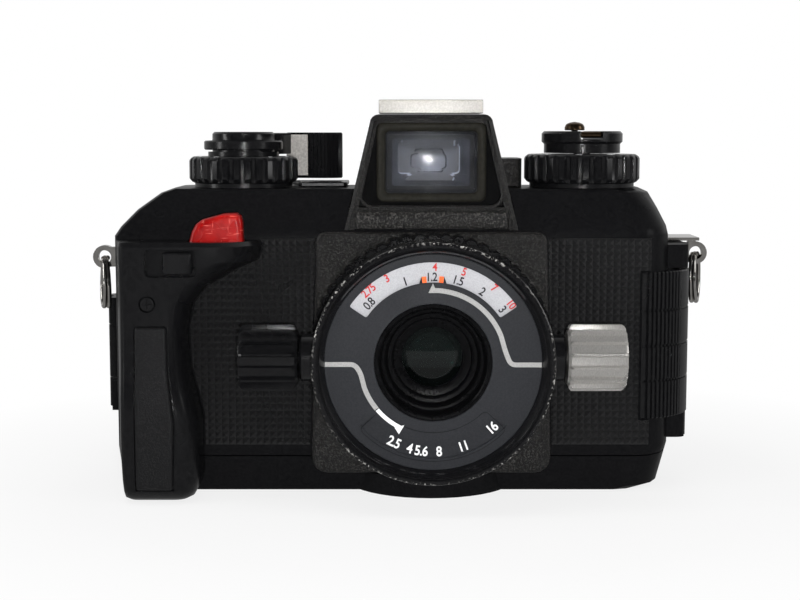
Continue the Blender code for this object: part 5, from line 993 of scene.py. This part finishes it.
def smoothPath(corners, radius, steps=7):
    # rounds the corners of a line of points
    path = [corners[0]]
    for a, b, c in zip(corners, corners[1:], corners[2:]):
        va = Vector((a[0] - b[0], a[1] - b[1]))
        vc = Vector((c[0] - b[0], c[1] - b[1]))
        reach = min(radius, va.length * 0.48, vc.length * 0.48)
        start = Vector(b) + va.normalized() * reach
        end = Vector(b) + vc.normalized() * reach
        for i in range(steps + 1):
            t = i / steps
            point = start * (1 - t) ** 2 + Vector(b) * 2 * t * (1 - t) + end * t * t
            path.append((point.x, point.y))
    path.append(corners[-1])
    return path


faceLine = {"width": 1.12, "y": -42.2, "thick": 0.06, "distance": 16.9, "aperture": 17.0, "bend": 1.9}


def faceRibbon(path, width=faceLine["width"]):
    return ribbon(path, width, faceLine["y"], faceLine["thick"])


def faceHead(*corners):
    return prism(list(corners), faceLine["y"] - faceLine["thick"] - 0.02, faceLine["y"] + 0.02)


def distancePointer():
    reach, level = faceLine["distance"], lensZ - 0.45
    bend = smoothPath([polar(reach, 20), polar(reach, 9), (18.0, level), (20.5, level), (25.15, level)],
                      faceLine["bend"])
    line = faceRibbon(arc(reach, 91, 22, 50) + bend[1:])
    return joined(line, faceHead(polar(18.55, 90.3), polar(16.35, 94.0), polar(16.35, 87.0)))


def aperturePointer():
    reach, level = faceLine["aperture"], lensZ - 0.35
    bend = smoothPath([(-25.15, level), (-20.5, level), (-18.2, level), polar(reach, 188), polar(reach, 199)],
                      faceLine["bend"])
    return faceRibbon(bend[:-1] + arc(reach, 200, 219.5, 22))


def aperturePointerTip():
    line = faceRibbon(arc(faceLine["aperture"], 220.2, 243, 26), 0.95)
    return joined(line, faceHead(polar(18.55, 244.6), polar(16.1, 245.4), polar(17.6, 239.3)))


def engravedOutline():
    # faint line that frames the aperture figures on the face
    outline = windowOutline(16.4, 23.2, 222, 317.5, 1.2)
    return ribbon(outline + outline[:1], 0.13, faceLine["y"], 0.015)


piece("distancePointer", distancePointer(), lineSilver, "lens", "scale_white", sharp=50)
piece("aperturePointer", aperturePointer(), lineSilver, "lens", "scale_white", sharp=50)
piece("aperturePointerTip", aperturePointerTip(), markWhite, "lens", "scale_white", sharp=50)
piece("faceEngraving", engravedOutline(), matteBlack, "lens", "slate_paint", sharp=50)

scaleDepth = {"distance": -41.02, "aperture": -41.34, "thick": 0.3, "gap": 0.03, "raised": 0.02}


def fullScale(inner, outer, front, thick):
    return lathe([(inner, front), (outer, front), (outer, front + thick), (inner, front + thick)], centre, "Y", 160,
                 closed=True)


piece("distanceDisc", fullScale(13.85, 25.15, scaleDepth["distance"], scaleDepth["thick"]), scaleSilver,
      "distance_scale", "scale_white", ["distance_scale"], sharp=40)


def dialFigures(items, size, y, weight, inward=False):
    made = []
    for text, radius, degrees in items:
        x, z = polar(radius, degrees)
        turn = radians(degrees + (90 if inward else -90))
        made.append((text, size, x, z, turn, weight))
    return lettered(made, y, 0.05)


metres = [("3", 20.17, 37.6), ("2", 19.95, 55.4), ("1.5", 19.83, 73.2), ("1.2", 19.8, 91.1), ("1", 19.85, 109.0),
          ("0.8", 20.11, 137.2), ("5", 20.1, 18.0), ("10", 20.1, 6.0)]
feet = [("10", 22.51, 36.9), ("7", 22.33, 50.9), ("5", 22.17, 71.3), ("4", 22.13, 89.0), ("3", 22.25, 118.8),
        ("2.75", 22.38, 131.8), ("15", 22.4, 20.0), ("30", 22.4, 6.0)]
stops = [("2.5", 20.98, -115.7), ("4", 21.1, -104.9), ("5.6", 21.15, -97.4), ("8", 21.17, -86.1),
         ("11", 21.09, -70.2), ("16", 20.77, -48.3)]
for name, words, size, paint, slot in (("metreFigures", metres, 2.8, markBlack, "gloss_black"),
                                      ("feetFigures", feet, 2.6, markRed, "release_red")):
    piece(name, dialFigures(words, size, scaleDepth["distance"] - scaleDepth["raised"], 0.05), paint,
          "distance_scale", slot, sharp=50)


def apertureDisc():
    front = scaleDepth["aperture"]
    # thin enough to pass in front of the raised distance figures
    back = front + scaleDepth["thick"] - scaleDepth["gap"]
    hub = lathe([(13.85, front), (14.7, front), (14.7, back), (13.85, back)], centre, "Y", 96, closed=True)
    outline = arc(24.6, 218.5, 391, 120) + arc(14.3, 391, 218.5, 100)
    return joined(hub, prism(outline, front, back))


piece("apertureDisc", apertureDisc(), slatePaint, "aperture_scale", "slate_paint", ["aperture_scale"], sharp=40)
piece("stopFigures", dialFigures(stops, 3.25, scaleDepth["aperture"] - scaleDepth["raised"], 0.07, inward=True),
      markWhite, "aperture_scale", "scale_white", sharp=50)


def depthPointer(degrees, front, side, thick=0.2):
    # narrow arm with an orange mark at its end, on a thin hub
    back = front + thick
    hub = lathe([(13.85, front), (14.6, front), (14.6, back), (13.85, back)], centre, "Y", 96, closed=True)
    arm = arc(20.15, degrees - 1.5, degrees + 1.5, 4) + arc(14.3, degrees + 1.5, degrees - 1.5, 4)
    outer = [polar(20.2, degrees + side * 1.6), polar(18.5, degrees + side * 1.6), polar(18.5, degrees + side * 4.2)]
    shape = joined(hub, prism(arm, front, back), prism(outer, front + 0.03, back - 0.03))
    for face in shape.faces:
        middle = face.calc_center_median()
        reach = hypot(middle.x, middle.z - lensZ)
        angle = atan2(middle.z - lensZ, middle.x) * 180 / pi
        face.material_index = 0 if reach > 15.5 and abs(angle - degrees) < 1.55 else 1
    return shape


for name, node, degrees, front, side in (("depthPointerLeft", "dof_pointer_left", 96.2, -41.78, 1),
                                         ("depthPointerRight", "dof_pointer_right", 84.5, -41.56, -1)):
    piece(name, depthPointer(degrees, front, side), [pointerOrange, markBlack], node, "pointer_orange", [node],
          sharp=40)

corePoints = [(13.68, -42.1), (13.68, -9.0), (8.32, -9.0), (8.32, -12.12), (5.2, -12.12), (5.2, -28.78), (7.22, -29.28),
              (7.22, -32.6), (7.45, -32.75), (7.9, -32.9), (9.2, -33.05), (9.3, -33.5), (9.45, -34.2), (9.8, -34.5),
              (10.6, -34.6), (10.8, -35.2), (11.1, -37.0), (11.4, -37.4), (11.9, -37.5), (12.15, -37.9),
              (12.35, -40.2), (12.6, -41.8), (12.9, -42.1), (13.3, -42.2)]
piece("lensCore", lathe(corePoints, centre, "Y", 160, closed=True), coreBlack, "lens", "gloss_black", ["lens_core"],
      sharp=26)


def element(radius, edgeY, bulge, backY, steps=10):
    profile = [(0, backY), (radius, backY)]
    for k in range(steps + 1):
        share = 1 - k / steps
        profile.append((radius * share, edgeY - bulge * (1 - share * share)))
    return lathe(profile, centre, "Y", 96)


piece("frontElement", element(7.18, -31.6, 1.2, -29.3), coatedGlass, "lens", "clear_glass", ["front_glass"], sharp=40)
piece("innerElement", element(5.15, -28.3, -0.74, -26.4), darkGlass, "lens", "clear_glass", sharp=40)
piece("rearElement", element(8.28, -12.1, 0.0, -10.0), coatedGlass, "lens", "clear_glass", ["rear_glass"], sharp=40)

knob = {"ridges": 15, "radius": 8.0, "root": 6.9, "inner": 31.8, "outer": 45.7}


def sideKnob(side):
    radius, floor, inner, outer = knob["radius"], knob["root"], knob["inner"], knob["outer"]
    pitch = 2 * pi / knob["ridges"]
    steps = [(pitch * (i + offset), high) for i in range(knob["ridges"])
             for offset, high in ((-0.16, 0.0), (-0.11, 0.6), (-0.07, 1.0), (0.07, 1.0), (0.11, 0.6), (0.16, 0.0),
                                  (0.33, -0.06), (0.5, -0.1), (0.67, -0.06))]
    rings = []
    for x, tip, root in ((inner, 6.2, 6.2), (inner + 0.5, 6.7, 6.5), (inner + 0.55, 7.3, 6.8),
                         (inner + 1.1, radius, floor), (outer - 1.0, radius, floor), (outer - 0.35, 7.6, 6.8),
                         (outer, 7.0, 6.6)):
        ring = []
        for turn, high in steps:
            r = root + (tip - root) * high
            ring.append((side * x, knobY + r * cos(turn), lensZ + r * sin(turn)))
        rings.append(ring)
    shaft = lathe([(0, side * 18.2), (1.6, side * 18.2), (1.6, side * 32.0), (0, side * 32.0)], (knobY, lensZ), "X",
                  32)
    return joined(skin(rings), shaft)


piece("focusKnob", sideKnob(1), aluminium, "focus_knob", "bright_aluminium", ["focus_knob"], sharp=28)
piece("apertureKnob", sideKnob(-1), dialEnamel, "aperture_knob", "gloss_black", ["aperture_knob"], sharp=28)
print("lens ready")


# Back and base

doorSkin = 21.35


def doorShell():
    return carved(copied("back_door"), prism(roundedBox(-58.0, 46.0, 12.0, 60.0, 3.0), doorSkin, 23.0))


def doorPanel():
    field = pyramidField(-60.0, 49.0, 10.0, 63.0, -0.45, 0.25, 0.3)
    for vert in field.verts:
        vert.co.y = doorSkin + 0.05 - vert.co.y * 0.5
    bmesh.ops.recalc_face_normals(field, faces=field.faces)
    return carved(field, prism(roundedBox(-57.7, 45.7, 12.3, 59.7, 2.7), doorSkin + 0.01, 23.0), "INTERSECT")


piece("backDoor", doorShell(), blackEnamel, "back_door", "cast_black", ["back_door"], bevel=0.4)
piece("doorPanel", doorPanel(), pyramidRubber, "back_door", "rubber_black", sharp=20)
copyPiece("batteryCap", "battery_cap", dialEnamel, "battery_cap", "gloss_black", bevel=0.2)
copyPiece("syncCap", "sync_cap", dialEnamel, "sync_cap", "gloss_black", bevel=0.2)

kept = {"mount_ring": steel, "tripod_bushing": steel, "sync_socket": steel, "battery": steel, "film_gate": steel,
        "shutter_block": blackEnamel, "circuit_board": boardGreen, "hinge_pin": steel, "latch_pin": steel,
        "pressure_plate": dialEnamel, "door_seal": grainRubber, "take_up_spool": blackEnamel, "sprocket": steel,
        "rewind_sleeve": steel, "shutter_blade_upper": steel, "shutter_blade_lower": steel}
for node, made in kept.items():
    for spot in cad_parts[node].material_slots:
        spot.material = made
print("back, base and inside ready")


# Floor, light and camera

def stageFloor():
    size = 3.0
    mesh = bpy.data.meshes.new("floor")
    mesh.from_pydata([(-size, -size, 0), (size, -size, 0), (size, size, 0), (-size, size, 0)], [], [(0, 1, 2, 3)])
    material, tree, shader = blankMaterial("paleFloor")
    setInputs(shader, {"Roughness": 0.9, "Specular IOR Level": 0.1})
    grain = noise(tree, 40, 2.0)
    link(tree, blended(tree, grain, (0.90, 0.90, 0.90), (0.93, 0.93, 0.93)), shader.inputs["Base Color"])
    place = axes(tree)
    far = ramp(tree, reachOf(tree, place["X"], place["Y"]), 0.8, 1.0, 0.09, 0.17)
    path = add(tree, "LightPath").outputs
    seen = path["Is Camera Ray"]
    mirrored = figure(tree, "MAXIMUM", path["Is Glossy Ray"], path["Is Transmission Ray"])
    glow = add(tree, "Emission")
    link(tree, figure(tree, "ADD", seen, figure(tree, "MULTIPLY", mirrored, 0.22)), glow.inputs["Strength"])
    share = figure(tree, "MAXIMUM", figure(tree, "MULTIPLY", far, seen), mirrored)
    link(tree, mixed(tree, share, shader.outputs[0], glow.outputs[0]),
         tree.nodes["Material Output"].inputs["Surface"])
    mesh.materials.append(material)
    placed("floor", mesh)


def surroundings():
    # white behind the object; dim in front, as the dark surfaces show
    world = bpy.data.worlds.new("studio")
    scene.world = world
    world.use_nodes = True
    tree = world.node_tree
    tree.nodes.clear()
    soft, white, even = (add(tree, "Background") for kind in range(3))
    for light in (soft, white, even):
        setInputs(light, {"Color": (1.0, 1.0, 1.0, 1.0)})
    setInputs(even, {"Strength": 0.26})
    link(tree, ramp(tree, axes(tree, "Generated")["Y"], 0.03, 0.55, -0.1, 0.6), soft.inputs["Strength"])
    path = add(tree, "LightPath").outputs
    mirrored = figure(tree, "MAXIMUM", path["Is Glossy Ray"], path["Is Transmission Ray"])
    unseen = mixed(tree, mirrored, even.outputs[0], soft.outputs[0])
    link(tree, mixed(tree, path["Is Camera Ray"], unseen, white.outputs[0]),
         add(tree, "OutputWorld").inputs["Surface"])


def lamp(name, place, size, power, mirrored=True):
    data = bpy.data.lights.new(name, "AREA")
    data.shape = "RECTANGLE"
    data.size, data.size_y = size
    data.energy = power
    item = placed(name, data)
    item.location = place
    item.rotation_euler = (Vector((0.0, 0.0, 0.045)) - Vector(place)).to_track_quat("-Z", "Y").to_euler()
    item.visible_glossy = item.visible_transmission = mirrored


stageFloor()
surroundings()
flashPlace = (0.0046, -0.43, 0.0795)
lamp("flashLamp", flashPlace, (0.02, 0.014), 1.5, mirrored=False)
lamp("sparkLamp", flashPlace, (0.007, 0.005), 0.16)
lamp("topLamp", (-0.10, -0.18, 0.62), (0.42, 0.30), 1.0, mirrored=False)
lamp("leftLamp", (-0.55, -0.20, 0.22), (0.10, 0.36), 0.6)
lamp("rightLamp", (0.55, -0.25, 0.25), (0.20, 0.30), 0.6)
lamp("backLamp", (0.10, 0.60, 0.35), (0.50, 0.30), 0.8, mirrored=False)

filmWidth, focalPixels, photoWidth, tilt = 36.0, 1560, 800, 6.2
camera = placed("camera", bpy.data.cameras.new("camera"))
camera.data.sensor_width = filmWidth
camera.data.lens = filmWidth * focalPixels / photoWidth
camera.location = (-0.0077, -0.400, 0.08975)
camera.rotation_euler = (radians(90 - tilt), 0.0, 0.0)
scene.camera = camera
scene.view_settings.view_transform = "Standard"
